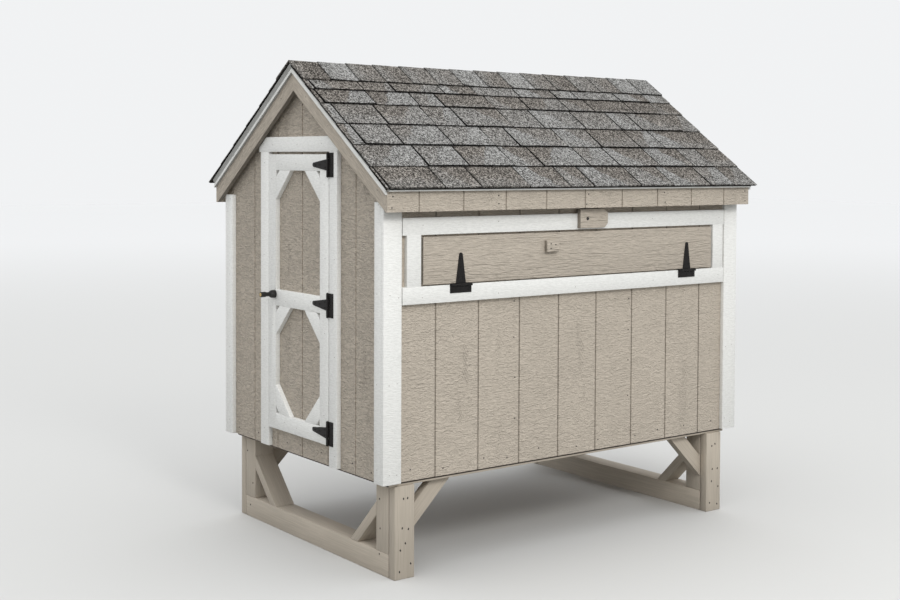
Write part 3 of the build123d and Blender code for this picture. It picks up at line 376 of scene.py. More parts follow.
def board_paint(name, colour, streak_colour, roughness, grain, relief, lines, blotch, splash=0.0,
                ring_gap=0.055, pressed=False, rim_shade_above=None, underside_shade=None):
    """Paint or bare wood; grain is the length and the width of its streaks.

    Above a given height, and on faces that look along X, the paint gives way to a near-black painted shade,
    the shade of the recess under the siding. The underside shade is a painted shade on faces that look down.
    """
    material, tree, shader = new_finish(name, roughness, 0.35)
    spot = object_spot(tree)
    parts = axes(spot)
    grain_uv = level_and_up(parts) if pressed else add(tree, "UVMap", uv_map="grain").outputs[0]
    streaks = place(tree, grain_group, vector=grain_uv, length=grain[0], width=grain[1], wander=0.5)
    rings = place(tree, rings_group, vector=grain_uv, spacing=ring_gap, run=9 * ring_gap)
    marks = times(rings["Line"], lines)
    paint = mixed(streaks["Streak"], streak_colour, colour)
    paint = mixed(marks, paint, streak_colour)
    paint = toned(paint, add(tree, "Attribute", attribute_name="board_tone").outputs["Fac"])
    # Painted shade on faces that look down.
    if underside_shade is not None:
        paint = toned(paint, fade(outward(tree)["Z"], -0.7, -0.5, underside_shade, 1.0))
    # Painted shade above the height and on the faces that look along X, for the recess under the siding.
    if rim_shade_above is not None:
        above = fade(parts["Z"], rim_shade_above - 0.001, rim_shade_above + 0.001)
        endwise = fade(calc("ABSOLUTE", outward(tree)["X"]), 0.6, 0.8)
        paint = mixed(calc("MAXIMUM", above, endwise), paint, RIM_SHADE)
    paint = place(tree, weather_group, colour=paint, vector=spot, blotch=blotch, splash=splash)["Colour"]
    feed(shader, paint, minus(streaks["Height"], times(marks, 0.5)), relief)
    return material


trim_white = board_paint("white trim paint", (0.868, 0.868, 0.844, 1), (0.795, 0.795, 0.771, 1), 0.55,
                         (0.02, 0.005), relief=0.002, lines=0.05, blotch=0.04, splash=0.05, pressed=True)
# The taupe boards get the taupe made 1.1 times lighter, a painted light that matches the sunlit long walls.
board_taupe = board_paint("taupe board paint", lighter_or_darker(TAUPE, 1.1), lighter_or_darker(TAUPE, 0.95), 0.68, (0.04, 0.0062),
                          relief=0.008, lines=0.35, blotch=0.1, splash=0.04, ring_gap=0.014)
# The rake boards' downward faces get a painted shade, 0.45 as light.
rake_taupe = board_paint("taupe rake paint", lighter_or_darker(TAUPE, 1.14), lighter_or_darker(TAUPE_DARK, 1.14), 0.7,
                         (0.05, 0.0034), relief=0.004, lines=0.2, blotch=0.1, ring_gap=0.014,
                         underside_shade=0.45)
lumber_taupe = board_paint("taupe lumber paint", LUMBER, LUMBER_DARK, 0.74, (0.16, 0.005),
                           relief=0.0012, lines=0.3, blotch=0.16, splash=0.12)
# The rim gets a near-black painted shade above a height just under the siding and on its gable faces.
rim_taupe = board_paint("taupe rim paint", LUMBER, LUMBER_DARK, 0.74, (0.12, 0.006),
                        relief=0.0004, lines=0.05, blotch=0.12, rim_shade_above=SIDING_BOTTOM - 0.0085)
raw_softwood = board_paint("sawn softwood", (0.60, 0.43, 0.255, 1), (0.50, 0.33, 0.18, 1), 0.68,
                           (0.25, 0.004), relief=0.0006, lines=0.7, blotch=0.12)
print("board paints mixed")

# %% [markdown]
# ## Easing the boards
# Real boards have slightly rounded edges that catch the light. A node's mesh comes as loose triangles,
# and one node may hold several boards that touch, so the solids are told apart first: two faces belong
# together across an edge that exactly two faces share. Each solid is then welded, its flat faces are
# joined, and its sharp edges are beveled. The longest edge of a board gives the way of its grain.

# %% Tell the boards apart
SNAP = 5
SHARP = math.radians(30)


def unique(items):
    """Items once each, in their order; a set would shuffle them from run to run."""
    return list(dict.fromkeys(items))


def flood(faces, beside):
    """Faces grouped by walking from each one to those beside it."""
    groups, seen = [], set()
    for face in faces:
        if face in seen:
            continue
        group, waiting = [], [face]
        seen.add(face)
        while waiting:
            current = waiting.pop()
            group.append(current)
            for other in beside(current):
                if other not in seen:
                    seen.add(other)
                    waiting.append(other)
        groups.append(group)
    return groups


def solids_in(bm):
    """Faces of loose triangles, grouped by solid."""
    shared = {}
    for face in bm.faces:
        keys = [tuple(round(value, SNAP) for value in vert.co) for vert in face.verts]
        for pair in zip(keys, keys[1:] + keys[:1]):
            shared.setdefault(frozenset(pair), []).append(face)
    beside = {face: [] for face in bm.faces}
    for pair in shared.values():
        if len(pair) == 2:
            beside[pair[0]].append(pair[1])
            beside[pair[1]].append(pair[0])
    return flood(bm.faces, beside.get)


def islands(bm):
    """Connected faces of a welded mesh."""
    return flood(bm.faces, lambda face: [other for edge in face.edges for other in edge.link_faces])


def weld_node(name):
    """Copy of a node's mesh with each solid welded and its flat faces joined."""
    bm = bmesh.new()
    bm.from_mesh(nodes[name].data)
    for group in solids_in(bm):
        corners = unique(vert for face in group for vert in face.verts)
        bmesh.ops.remove_doubles(bm, verts=corners, dist=10 ** -SNAP)
    bmesh.ops.dissolve_limit(bm, angle_limit=math.radians(1), verts=bm.verts[:], edges=bm.edges[:])
    return bm


print("solids can be told apart")

# %% Board tools
def round_off(bm, edges, width, segments=2):
    """Bevel edges to a soft curve."""
    bmesh.ops.bevel(bm, geom=edges, offset=width, offset_type="OFFSET", segments=segments, profile=0.5,
                    affect="EDGES", material=-1, clamp_overlap=True)


def ease_edges(bm, width):
    """Round the edges where two faces meet at a sharp angle."""
    round_off(bm, [edge for edge in bm.edges if edge.is_manifold and edge.calc_face_angle() > SHARP], width)


def map_grain(bm, contrast, end_grain_and_shade=1.0):
    """Lay U along each board's longest edge, V across it, and give each board a tone; its end faces get the
    end tone as well, the dark of end grain together with painted shade.
    """
    uv = bm.loops.layers.uv.new("grain")
    tone = bm.faces.layers.float.new("board_tone")
    for group in islands(bm):
        longest = max((edge for face in group for edge in face.edges), key=lambda e: e.calc_length())
        grain = (longest.verts[1].co - longest.verts[0].co).normalized()
        start = Vector((dice.uniform(0, 9), dice.uniform(0, 9)))
        shade = 1.0 + dice.uniform(-contrast, contrast)
        for face in group:
            # End faces: dark end grain, with painted shade on the sides of small blocks.
            face[tone] = shade * (end_grain_and_shade if abs(face.normal.dot(grain)) > 0.95 else 1.0)
            across = face.normal.cross(grain)
            if across.length < 0.3:
                across = grain.orthogonal()
            across.normalize()
            for loop in face.loops:
                spot = loop.vert.co
                loop[uv].uv = start + Vector((spot.dot(grain), spot.dot(across)))


def put(name, data):
    """Object in the scene, at the origin."""
    thing = bpy.data.objects.new(name, data)
    bpy.context.scene.collection.objects.link(thing)
    return thing


def settle(bm, name, body, material, sharp=SHARP):
    """Turn a finished bmesh into a piece that rides on a body."""
    mesh = bpy.data.meshes.new(name)
    bm.to_mesh(mesh)
    bm.free()
    mesh.materials.append(material)
    mesh.polygons.foreach_set("use_smooth", [True] * len(mesh.polygons))
    mesh.set_sharp_from_angle(angle=sharp)
    piece = put(name, mesh)
    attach(piece, body)
    return piece


def dress_boards(names, material, width, contrast, gap=0.0, end_grain_and_shade=1.0, front_end=None):
    """Eased boards in place of each named node.

    A gap keeps them short of their outer ends; front_end moves the ends nearest the door gable.
    """
    for name in names:
        bm = weld_node(name)
        outer = max(abs(vert.co.y) for vert in bm.verts)
        first = min(vert.co.x for vert in bm.verts)
        for vert in bm.verts:
            if abs(vert.co.y) > outer - 0.0001:
                vert.co.y -= math.copysign(gap, vert.co.y)
            if front_end is not None and vert.co.x < first + 0.0001:
                vert.co.x = front_end
        ease_edges(bm, width)
        map_grain(bm, contrast, end_grain_and_shade)
        piece = settle(bm, name + "_boards", body_of[name], material)
        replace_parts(piece, name)
    print("dressed", len(names), "nodes in", material.name)


print("board tools ready")

# %% Trim, door, legs and framing
dress_boards(("corner_trims_front", "corner_trims_rear", "door_jambs", "door_header", "ramp_frame",
              "door_stiles", "door_rails", "door_corner_braces"), trim_white, width=0.0013, contrast=0.025)
dress_boards(("egg_frame",), trim_white, width=0.0013, contrast=0.025, front_end=-0.86)
# The small taupe parts' end faces are 0.6 as light: dark end grain, with painted shade on the pull's and
# buttons' sides.
dress_boards(("egg_door_panel", "ramp_panel", "ramp_cleats", "egg_door_pull", "egg_turn_button",
              "ramp_turn_button"), board_taupe, width=0.0014, contrast=0.04, end_grain_and_shade=0.6)
dress_boards(("rake_boards", "rake_spacers"), rake_taupe, width=0.0014, contrast=0.03)
dress_boards(("leg_planks", "skid_braces", "floor_braces"), lumber_taupe, width=0.0024, contrast=0.05)
dress_boards(("skid_front", "skid_rear", "leg_posts"), lumber_taupe, width=0.0024, contrast=0.05, gap=0.004)
dress_boards(("floor_frame",), rim_taupe, width=0.0024, contrast=0.03)
dress_boards(("wall_frame_front", "wall_frame_rear", "wall_frame_egg_side", "wall_frame_ramp_side",
              "ridge_board", "nest_beam", "nest_perch", "roost_bars", "roost_cleats"), raw_softwood,
             width=0.0025, contrast=0.1)

# %% [markdown]
# The rafters are bare indoors and painted where their tails come out under the eaves. A cut at the wall
# gives each rafter an edge there, and the faces on either side of it get their own material.

# %% Rafters
WALL_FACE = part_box("siding_ramp_side")[1].y
bm = weld_node("rafters")
for side in (-1, 1):
    bmesh.ops.bisect_plane(bm, geom=bm.verts[:] + bm.edges[:] + bm.faces[:],
                           plane_co=(0, side * WALL_FACE, 0), plane_no=(0, 1, 0))
ease_edges(bm, 0.0025)
map_grain(bm, 0.1)
rafters = settle(bm, "rafters_boards", "coop", raw_softwood)
rafters.data.materials.append(lumber_taupe)
for face in rafters.data.polygons:
    face.material_index = int(abs(face.center.y) > WALL_FACE)
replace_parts(rafters, "rafters")
print("rafters painted beyond y", round(WALL_FACE, 3))

# %% [markdown]
# ## Plywood, felt and metal
# The floor, the roof deck and the nest boxes are plywood, which keeps its sharp edges, so those nodes
# stay as they are and get a bare-wood finish from Object coordinates. The drip edge is coated metal
# and the felt is black and fibrous.

# %% Plywood, felt and drip edge
def sheet_finish(name, colour, dark, roughness, grain, relief, sheet_underside_shade=1.0):
    """Sheet goods; the underside shade is a painted shade on faces that look down."""
    material, tree, shader = new_finish(name, roughness, 0.3)
    spot = object_spot(tree)
    streaks = place(tree, grain_group, vector=spot, length=grain[0], width=grain[1], wander=0.8)
    paint = mixed(streaks["Streak"], dark, colour)
    paint = place(tree, weather_group, colour=paint, vector=spot, blotch=0.12, splash=0.0)["Colour"]
    # Painted shade on faces that look down.
    paint = toned(paint, fade(outward(tree)["Z"], -0.4, -0.1, sheet_underside_shade, 1.0))
    feed(shader, paint, streaks["Height"], relief)
    return material


plywood = sheet_finish("bare plywood", (0.60, 0.45, 0.29, 1), (0.52, 0.37, 0.22, 1), 0.6, (0.4, 0.012),
                       relief=0.0003)
felt = sheet_finish("roofing felt", (0.035, 0.035, 0.035, 1), (0.02, 0.02, 0.02, 1), 0.95, (0.01, 0.004),
                    relief=0.0005)
# The drip edge's downward faces get a painted shade at half light.
drip_metal = sheet_finish("coated drip edge", (0.85, 0.85, 0.83, 1), (0.79, 0.79, 0.76, 1), 0.5, (0.9, 0.05),
                          relief=0.0002, sheet_underside_shade=0.5)
coat(plywood, "floor_deck", "roof_deck", "nest_floor", "nest_dividers", "nest_front_board")
coat(felt, "roof_felt")
coat(drip_metal, "drip_edge_eaves", "drip_edge_rakes")
print("sheets coated")

# %% [markdown]
# ## Shingles
# Each course is a row of tabs of uneven width that lies on the course below it, leaning a little. The
# tabs are laid one by one with the sizes of the model: a strip is laid on its bed and extruded to a
# slab that thickens towards its lower end, the butt, as a laminated shingle does.
#
# The factory drops granules in two tones on a tab, with a soft, slanting border between them. A vertex
# colour carries the first tone in red, the second in green and the border's place in blue; its alpha is
# one on the granule face and less on the underside, so the cut edges turn dark. A UV map gives the place
# on the tab: U from side to side, and V in metres below the butt of the course above.

# %% Shingle tones
TAB_SHOWN = 0.14
BORDER_SLANT = 0.45
LOW_TONE = 0.52
shingle_finish, tree, shader = new_finish("granule shingle", 0.95, 0.12)
spot = object_spot(tree)
blend = add(tree, "Attribute", attribute_name="blend").outputs
tones = add(tree, "SeparateColor", {0: blend["Color"]}).outputs
tab_uv = axes(add(tree, "UVMap", uv_map="tab").outputs[0])
ragged = noise(spot, 26.0, 3.0)
down = minus(calc("DIVIDE", tab_uv["Y"], TAB_SHOWN), 0.5)
lighter = calc("SIGN", minus(tones["Red"], tones["Green"]))
border = plus(tones["Blue"], times(times(lighter, down), BORDER_SLANT))
beyond = minus(plus(tab_uv["X"], times(ragged, 0.3)), border)
tone = between(fade(beyond, 0.11, 0.18), tones["Red"], tones["Green"])
low_part = fade(plus(down, times(ragged, 0.8)), 0.3, 0.75, 0.0, 0.6)
tone = between(low_part, tone, LOW_TONE)
print("tones of a tab mixed")

# %% Granules
GRIT, CLUMP = 420.0, 225.0
CLUMP_SHARE = 0.65
SPREAD = 1.5
STOPS = ((0.06, (0.024, 0.023, 0.022, 1)), (0.36, (0.100, 0.098, 0.094, 1)), (0.62, (0.196, 0.195, 0.190, 1)),
         (0.92, (0.385, 0.387, 0.380, 1)))
BROWN = (1.0, 0.91, 0.83, 1)
# Light left by the painted shadow and shade, and by the black cut edges.
SHADE_AND_EDGE_BLACK = 0.12


def granule(scale, channel):
    """A random value for each granule of a size."""
    colour = add(tree, "TexVoronoi", {"Vector": spot, "Scale": scale}, feature="F1").outputs["Color"]
    return add(tree, "SeparateColor", {0: colour}).outputs[channel]


speckle = between(CLUMP_SHARE, granule(GRIT, "Red"), granule(CLUMP, "Green"))
ramp = add(tree, "ValToRGB", {"Fac": plus(tone, times(minus(speckle, 0.5), SPREAD))})
while len(ramp.color_ramp.elements) < len(STOPS):
    ramp.color_ramp.elements.new(0.5)
for element, (position, colour) in zip(ramp.color_ramp.elements, STOPS):
    element.position = position
    element.color = colour
grey = ramp.outputs["Color"]
brown = mixed(1.0, grey, BROWN, "MULTIPLY")
coated = mixed(fade(tone, 0.36, 0.56, 0.9, 0.1), grey, brown)
# Painted shadow: each tab darkens for some mm below the butt of the course above, and stays dark where V is
# below nil, on the bed seen through the slots. Painted shade darkens the last strip of each tab beside its
# slot. The cut edges take the same dark: the black of bare asphalt with painted shade on the slots' sides.
painted_butt_shadow = fade(tab_uv["Y"], -0.001, 0.0085, SHADE_AND_EDGE_BLACK, 1.0)
cut_edge = fade(blend["Alpha"], 0.8, 1.0, SHADE_AND_EDGE_BLACK, 1.0)
painted_slot_shade = fade(tab_uv["X"], 0.98, 0.992, 1.0, 0.25)
coated = toned(coated, times(times(painted_butt_shadow, cut_edge), painted_slot_shade))
feed(shader, coated, speckle, 0.001, 0.7)
print("granules:", len(STOPS), "tones")

# %% Roof measures
PITCH = math.radians(34.5)
RUN = math.cos(PITCH)
RISE = math.sin(PITCH)
DECK = 0.012
BED = DECK + 0.001
SHINGLE = 0.003
EXPOSURE = 0.142
CAP_WING = 0.122
TOP_SHOW = 0.066
LEAST_SHOW = 0.07
EAVE_OVERHANG = 0.019
roof_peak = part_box("roof_deck")[1].z - DECK / RUN
roof_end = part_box("ridge_caps")[1].x
eave_run = (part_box("roof_deck")[1].y + EAVE_OVERHANG) / RUN
lean = SHINGLE / EXPOSURE
butts = [eave_run]
while butts[-1] - EXPOSURE > CAP_WING + TOP_SHOW + LEAST_SHOW:
    butts.append(butts[-1] - EXPOSURE)
butts.append(CAP_WING + TOP_SHOW)


def on_roof(x, run, height):
    """Point on the +Y slope, a height above the shingles' bed."""
    return Vector((x, run * RUN + (BED + height) * RISE, roof_peak - run * RISE + (BED + height) * RUN))


def run_of(point):
    """Slope distance from the ridge to a point on the roof."""
    return point.y * RUN + (roof_peak - point.z) * RISE


def bed_height(course, run):
    """Height of the leaning bed under a course."""
    return lean * (run - eave_run + 2 * EXPOSURE) + course * SHINGLE


print("courses:", [round(b, 3) for b in butts], "peak", round(roof_peak, 4))

# %% One tab
COLUMNS = 4
RAGGED_BUTT = 0.0008
TONES = {"dark": 0.37, "mid": 0.47, "light": 0.60}
PATTERNS = (("light", "dark"), ("dark", "light"), ("mid", "dark"), ("dark", "mid"), ("mid", "mid"),
            ("light", "mid"), ("mid", "light"), ("dark", "dark"))


def lay_slab(bm, x_low, x_high, rows, floor, thick, lip, tones, edge=0.0):
    """One tab; rows are its head, the butt above and its own butt, edge the light of its cut edge."""
    blend = bm.verts.layers.float_color["blend"]
    uv = bm.loops.layers.uv["tab"]
    strip = bmesh.ops.create_grid(bm, x_segments=COLUMNS, y_segments=2, size=1.0)["verts"]
    cover, butt = rows[1:]
    for vert in strip:
        share, row = (vert.co.x + 1) / 2, round(vert.co.y) + 1
        run = rows[row] + (dice.uniform(-RAGGED_BUTT, RAGGED_BUTT) if row == 2 else 0.0)
        vert.co = on_roof(x_low + (x_high - x_low) * share, run, floor(run))
        vert[blend] = (*tones, edge)
    faces = unique(face for vert in strip for face in vert.link_faces)
    made = bmesh.ops.extrude_face_region(bm, geom=faces, use_keep_orig=True)["geom"]
    for vert in made:
        if isinstance(vert, bmesh.types.BMVert):
            down = max(run_of(vert.co) - cover, 0.0) / (butt - cover)
            vert.co += Vector((0, RISE, RUN)) * (thick + lip * down * dice.uniform(0.8, 1.1))
            vert[blend] = (*tones, 1.0)
            strip.append(vert)
    for face in unique(face for vert in strip for face in vert.link_faces):
        for loop in face.loops:
            spot = loop.vert.co
            loop[uv].uv = ((spot.x - x_low) / (x_high - x_low), run_of(spot) - cover)


def pick_tones(lighter_by):
    """First tone, second tone and border of one tab."""
    first, second = dice.choice(PATTERNS)
    drift = lighter_by + dice.uniform(-0.03, 0.03)
    return TONES[first] + drift, TONES[second] + drift, dice.uniform(0.3, 0.7)


print("tab patterns:", len(PATTERNS))

# %% Lay the courses
TAB_WIDTHS = (0.245, 0.150, 0.225, 0.190, 0.260, 0.125, 0.210, 0.235, 0.170)
TAB_START = 4
TAB_SLOT = 0.005
LIPS = (0.0014, 0.0034, 0.0048)
END_LIP = 0.0006
END_EDGE = 0.88
TOP_LIGHT = 0.04
RIDGE_SETBACK = 0.008
STARTER_BACK = 0.0035
STARTER_TONES = (0.4, 0.4, 0.5)


def lay_courses():
    """All tabs of the +Y slope, with the starter strip under the lowest course."""
    bm = bmesh.new()
    bm.verts.layers.float_color.new("blend")
    bm.loops.layers.uv.new("tab")
    start = (eave_run - EXPOSURE, eave_run - EXPOSURE / 2, eave_run - STARTER_BACK)
    lay_slab(bm, -roof_end, roof_end, start, lambda run: 0.0, 2 * SHINGLE * 0.98, 0.0, STARTER_TONES, 0.1)
    for course, butt in enumerate(butts):
        count = course * TAB_START
        edges = [-roof_end]
        x = -roof_end + TAB_WIDTHS[count % len(TAB_WIDTHS)] * 0.6
        while x < roof_end - TAB_SLOT:
            edges.append(x)
            count += 1
            x += TAB_WIDTHS[count % len(TAB_WIDTHS)]
        edges.append(roof_end)
        # Under the caps the cover sits a little higher, so most of the top course's painted shadow is hidden.
        cover = (butts + [CAP_WING - 0.005])[course + 1]
        rows = (max(butt - 2 * EXPOSURE, RIDGE_SETBACK), cover, butt)
        for low, high in zip(edges, edges[1:]):
            first, last = low == -roof_end, high == roof_end
            left = low + (0.0 if first else TAB_SLOT / 2)
            right = high - (0.0 if last else TAB_SLOT / 2)
            lip = END_LIP if first or last else dice.choice(LIPS)
            edge = END_EDGE if course == 0 or first or last else 0.0
            lay_slab(bm, left, right, rows, lambda run: bed_height(course, run), SHINGLE, lip,
                     pick_tones(TOP_LIGHT if butt == butts[-1] else 0.0), edge)
    bmesh.ops.recalc_face_normals(bm, faces=bm.faces[:])
    return bm


def shingle_side(node, turned):
    """Tabs of one slope in place of a node; returns how many faces they have."""
    bm = lay_courses()
    if turned:
        bmesh.ops.rotate(bm, verts=bm.verts[:], cent=Vector(), matrix=Matrix.Rotation(math.pi, 3, "Z"))
    piece = settle(bm, node + "_tabs", "coop", shingle_finish)
    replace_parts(piece, node)
    return len(piece.data.polygons)


print("tab faces:", shingle_side("shingles_egg_side", True), shingle_side("shingles_ramp_side", False))

# %% [markdown]
# ## Hems of the drip edge
# The drip edge's lower border is kicked out and folded back on itself, so that rain falls clear of the
# boards. That hem is the bright line under the shingles. Each hem is a section drawn out along its rake
# or its eave: on a rake a slanting face that ends in a flat lip, on an eave a lip on a small ledge that
# carries it forward into the light.

# %% Fold the hems
RAKE_HEM = ((0.0, -0.0272), (0.0098, -0.0272), (0.0098, -0.0224), (0.0080, -0.0136))
KICK = 0.0145
EAVE_LIP = ((KICK - 0.002, 0.0), (KICK, 0.0), (KICK, 0.0065), (KICK - 0.002, 0.0065))
EAVE_LEDGE = ((-0.0005, 0.0072), (KICK, 0.0052), (KICK, 0.0065), (-0.0005, 0.0085))
rake_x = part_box("rake_boards")[1].x
nose_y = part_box("drip_edge_eaves")[1].y
foot_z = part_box("drip_edge_eaves")[0].z


def draw_out(bm, ring, run):
    """A closed bar with the section of ring."""
    face = bm.faces.new([bm.verts.new(point) for point in ring])
    drawn = bmesh.ops.extrude_face_region(bm, geom=[face])["geom"]
    bmesh.ops.translate(bm, verts=[item for item in drawn if isinstance(item, bmesh.types.BMVert)], vec=run)


bm = bmesh.new()
for side in (-1, 1):
    for gable in (-1, 1):
        turn = Vector((gable, side, 1))
        down = on_roof(0, (nose_y + 0.002) / RUN, 0) - on_roof(0, 0, 0)
        ring = [on_roof(rake_x + out, -(BED + height) * RISE / RUN, height) for out, height in RAKE_HEM]
        draw_out(bm, [point * turn for point in ring], down * turn)
    for section in (EAVE_LIP, EAVE_LEDGE):
        ring = [Vector((-rake_x, side * (nose_y + out), foot_z + up)) for out, up in section]
        draw_out(bm, ring, Vector((2 * rake_x, 0, 0)))
bmesh.ops.recalc_face_normals(bm, faces=bm.faces[:])
settle(bm, "drip_edge_hems", "coop", drip_metal)
print("hems at the rakes, x", round(rake_x + RAKE_HEM[1][0], 4), "and the eaves, y", round(nose_y + KICK, 4))

# %% [markdown]
# ## Ridge caps
# A cap is a shingle bent over the ridge. Its node is a sharp fold, so a copy gets a soft bend along
# the top and rounded corners at its showing end, which the sun has pressed down a little. Every cap gets
# its own blend of granules.

# %% Bend the caps
CAP_BEND = 0.0035
CAP_CORNER = 0.012
CAP_SHOW = 0.1312
CAP_SETTLED = 0.0016
CAP_TONES = (0.28, 0.28, 0.66, 0.42, 0.40, 0.44, 0.45, 0.65, 0.41, 0.67, 0.42, 0.33, 0.46, 0.41, 0.62, 0.55)
NEAR = 1e-4
bm = weld_node("ridge_caps")
cap_layer = bm.verts.layers.float_color.new("blend")
cap_uv = bm.loops.layers.uv.new("tab")
caps = sorted(islands(bm), key=lambda group: min(v.co.x for f in group for v in f.verts))
fold_edges, corner_edges = [], []
for count, group in enumerate(caps):
    tone = CAP_TONES[count % len(CAP_TONES)]
    edges = unique(edge for face in group for edge in face.edges)
    show = min(vert.co.x for edge in edges for vert in edge.verts)
    for vert in unique(vert for edge in edges for vert in edge.verts):
        if vert.co.x < show + NEAR:
            vert.co.z -= CAP_SETTLED
    for edge in edges:
        first, second = (vert.co for vert in edge.verts)
        if abs(first.y) < NEAR and abs(second.y) < NEAR and abs(first.x - second.x) > 0.01:
            fold_edges.append(edge)
        at_end = max(first.x, second.x) < show + NEAR
        if at_end and edge.calc_length() < 2 * SHINGLE and abs(first.y) > CAP_WING / 2:
            corner_edges.append(edge)
    for face in group:
        for loop in face.loops:
            # V runs to the next cap's butt, so the painted shadow falls just before it.
            loop[cap_uv].uv = (0.5, show + CAP_SHOW - loop.vert.co.x)
            if face.normal.z > 0.5:
                loop.vert[cap_layer] = (tone, tone, 0.5, 1.0)
            elif face.normal.z < -0.7:
                loop.vert[cap_layer] = (tone, tone, 0.5, 0.9)
round_off(bm, corner_edges, CAP_CORNER)
fold_edges = [edge for edge in fold_edges if edge.is_valid]
round_off(bm, fold_edges, CAP_BEND, segments=4)
cap_piece = settle(bm, "ridge_caps_bent", "coop", shingle_finish)
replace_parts(cap_piece, "ridge_caps")
print("caps:", len(caps), "folds", len(fold_edges), "corners", len(corner_edges))

# %% [markdown]
# ## Black T-hinges
# The hinges are stamped steel with a black satin coat. Their nodes are right in shape, so copies only
# get eased edges. A pan-head screw is a short cone with a sunk face, made once as a recipe and placed by
# each hinge's own directions: along the strap, out from the wood, along the axis.

# %% Metals
def metal(name, colour, rubbed, roughness=0.6, scale=400.0, relief=0.0001, metallic=0.0, gloss=0.5):
    """Coated or bare metal with a faint mottle."""
    material, tree, shader = new_finish(name, roughness, gloss, Metallic=metallic)
    mottle = noise(object_spot(tree), scale, 4.0)
    tree.links.new(fade(mottle, 0.3, 0.7, roughness - 0.06, roughness + 0.1), shader.inputs["Roughness"])
    feed(shader, mixed(fade(mottle, 0.4, 0.7), colour, rubbed), mottle, relief)
    return material


hinge_black = metal("black hinge coat", (0.009, 0.008, 0.008, 1), (0.018, 0.016, 0.015, 1), 0.5, 180.0,
                    0.0003, gloss=0.18)
lock_black = metal("black lock coat", (0.01, 0.01, 0.01, 1), (0.022, 0.021, 0.02, 1), 0.38, 220.0, 0.0002,
                   gloss=0.4)
lock_steel = metal("lock steel", (0.58, 0.57, 0.55, 1), (0.46, 0.45, 0.43, 1), 0.28, 260.0, metallic=1.0)
key_brass = metal("key brass", (0.72, 0.52, 0.22, 1), (0.55, 0.38, 0.15, 1), 0.3, 300.0, metallic=1.0)
nail_steel = metal("nail heads", (0.030, 0.026, 0.023, 1), (0.015, 0.013, 0.012, 1))
nail_painted = metal("painted nail heads", (0.42, 0.40, 0.37, 1), (0.30, 0.28, 0.26, 1))
coat(hinge_black, "hinge_pins")
coat(lock_steel, "lock_cam")
coat(nail_steel, "button_screws")
for name in ("hinge_leaves", "door_hinge_straps", "egg_hinge_straps", "ramp_hinge_straps"):
    bm = weld_node(name)
    ease_edges(bm, 0.0006)
    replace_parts(settle(bm, name + "_eased", body_of[name], hinge_black), name)
print("hinges eased")

# %% Hinge screws
SCREW = 0.0036
PLATE_OUT = 0.0032
DOOR_LEAF = ((-0.026, -0.036), (-0.026, 0.036), (-0.018, 0.0))
FLAP_LEAF = ((-0.021, -0.038), (-0.021, 0.0), (-0.021, 0.038))
STRAP = ((0.026, -0.011), (0.026, 0.011), (0.066, 0.0), (0.1, 0.0))
EGG_OUT, RAMP_OUT, FRONT_OUT, REAR_OUT = (0, -1, 0), (0, 1, 0), (-1, 0, 0), (1, 0, 0)
ALONG_X, ALONG_Y, ALONG_Z = (1, 0, 0), (0, 1, 0), (0, 0, 1)


def facing(point, out):
    """Placement whose Z axis points out of a surface."""
    return Matrix.Translation(point) @ Vector(out).to_track_quat("Z", "Y").to_matrix().to_4x4()


def drive_screw(bm, point, out):
    """Pan-head screw: a short cone with a sunk face."""
    seat = facing(point, out) @ Matrix.Translation((0, 0, SCREW * 0.2))
    made = bmesh.ops.create_cone(bm, cap_ends=True, segments=12, radius1=SCREW, radius2=SCREW * 0.72,
                                 depth=SCREW * 0.5, matrix=seat)
    top = max((f for v in made["verts"] for f in v.link_faces if len(f.verts) > 4),
              key=lambda f: f.calc_center_median().dot(Vector(out)))
    bmesh.ops.inset_region(bm, faces=[top], thickness=SCREW * 0.38, depth=-SCREW * 0.22)


def hinge_screws(name, body, spots, axis_points, along, out, axis):
    """Screws of one kind of hinge plate, given in its own directions."""
    bm = bmesh.new()
    for start in axis_points:
        for far, side in spots:
            point = Vector(start) + far * Vector(along) - PLATE_OUT * Vector(out) + side * Vector(axis)
            drive_screw(bm, point, out)
    settle(bm, name, body, hinge_black)


low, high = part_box("door_hinge_straps")
axis_at = {row["name"]: row["pos_m"] for row in frame["record"]["behaviour"]["joints"]}
door_points = [(*axis_at["door_swing"][:2], z) for z in (low.z + 0.024, 1.002, high.z - 0.024)]
egg_points = [(x, *axis_at["egg_door_swing"][1:]) for x in (-0.595, 0.625)]
ramp_points = [(x, *axis_at["ramp_swing"][1:]) for x in (-0.525, -0.335)]
for name, body, leaf, *where in (("door", "door", DOOR_LEAF, door_points, ALONG_Y, FRONT_OUT, ALONG_Z),
                                 ("egg", "egg_door", FLAP_LEAF, egg_points, ALONG_Z, EGG_OUT, ALONG_X),
                                 ("ramp", "ramp", FLAP_LEAF, ramp_points, ALONG_Z, RAMP_OUT, ALONG_X)):
    hinge_screws(name + "_leaf_screws", "coop", leaf, *where)
    hinge_screws(name + "_strap_screws", body, STRAP, *where)
print("hinge screws driven")

# %% [markdown]
# ## Door lock
# The lock is turned work, so it is drawn as half a profile and spun. The rose is a dome that covers
# the hole, the knob is a plain barrel on a neck, and a brass key cylinder closes its end.

# %% Spin the lock
KNOB_AT = Vector((-0.944, 0.188, 1.012))
knob_place = facing(KNOB_AT, FRONT_OUT)


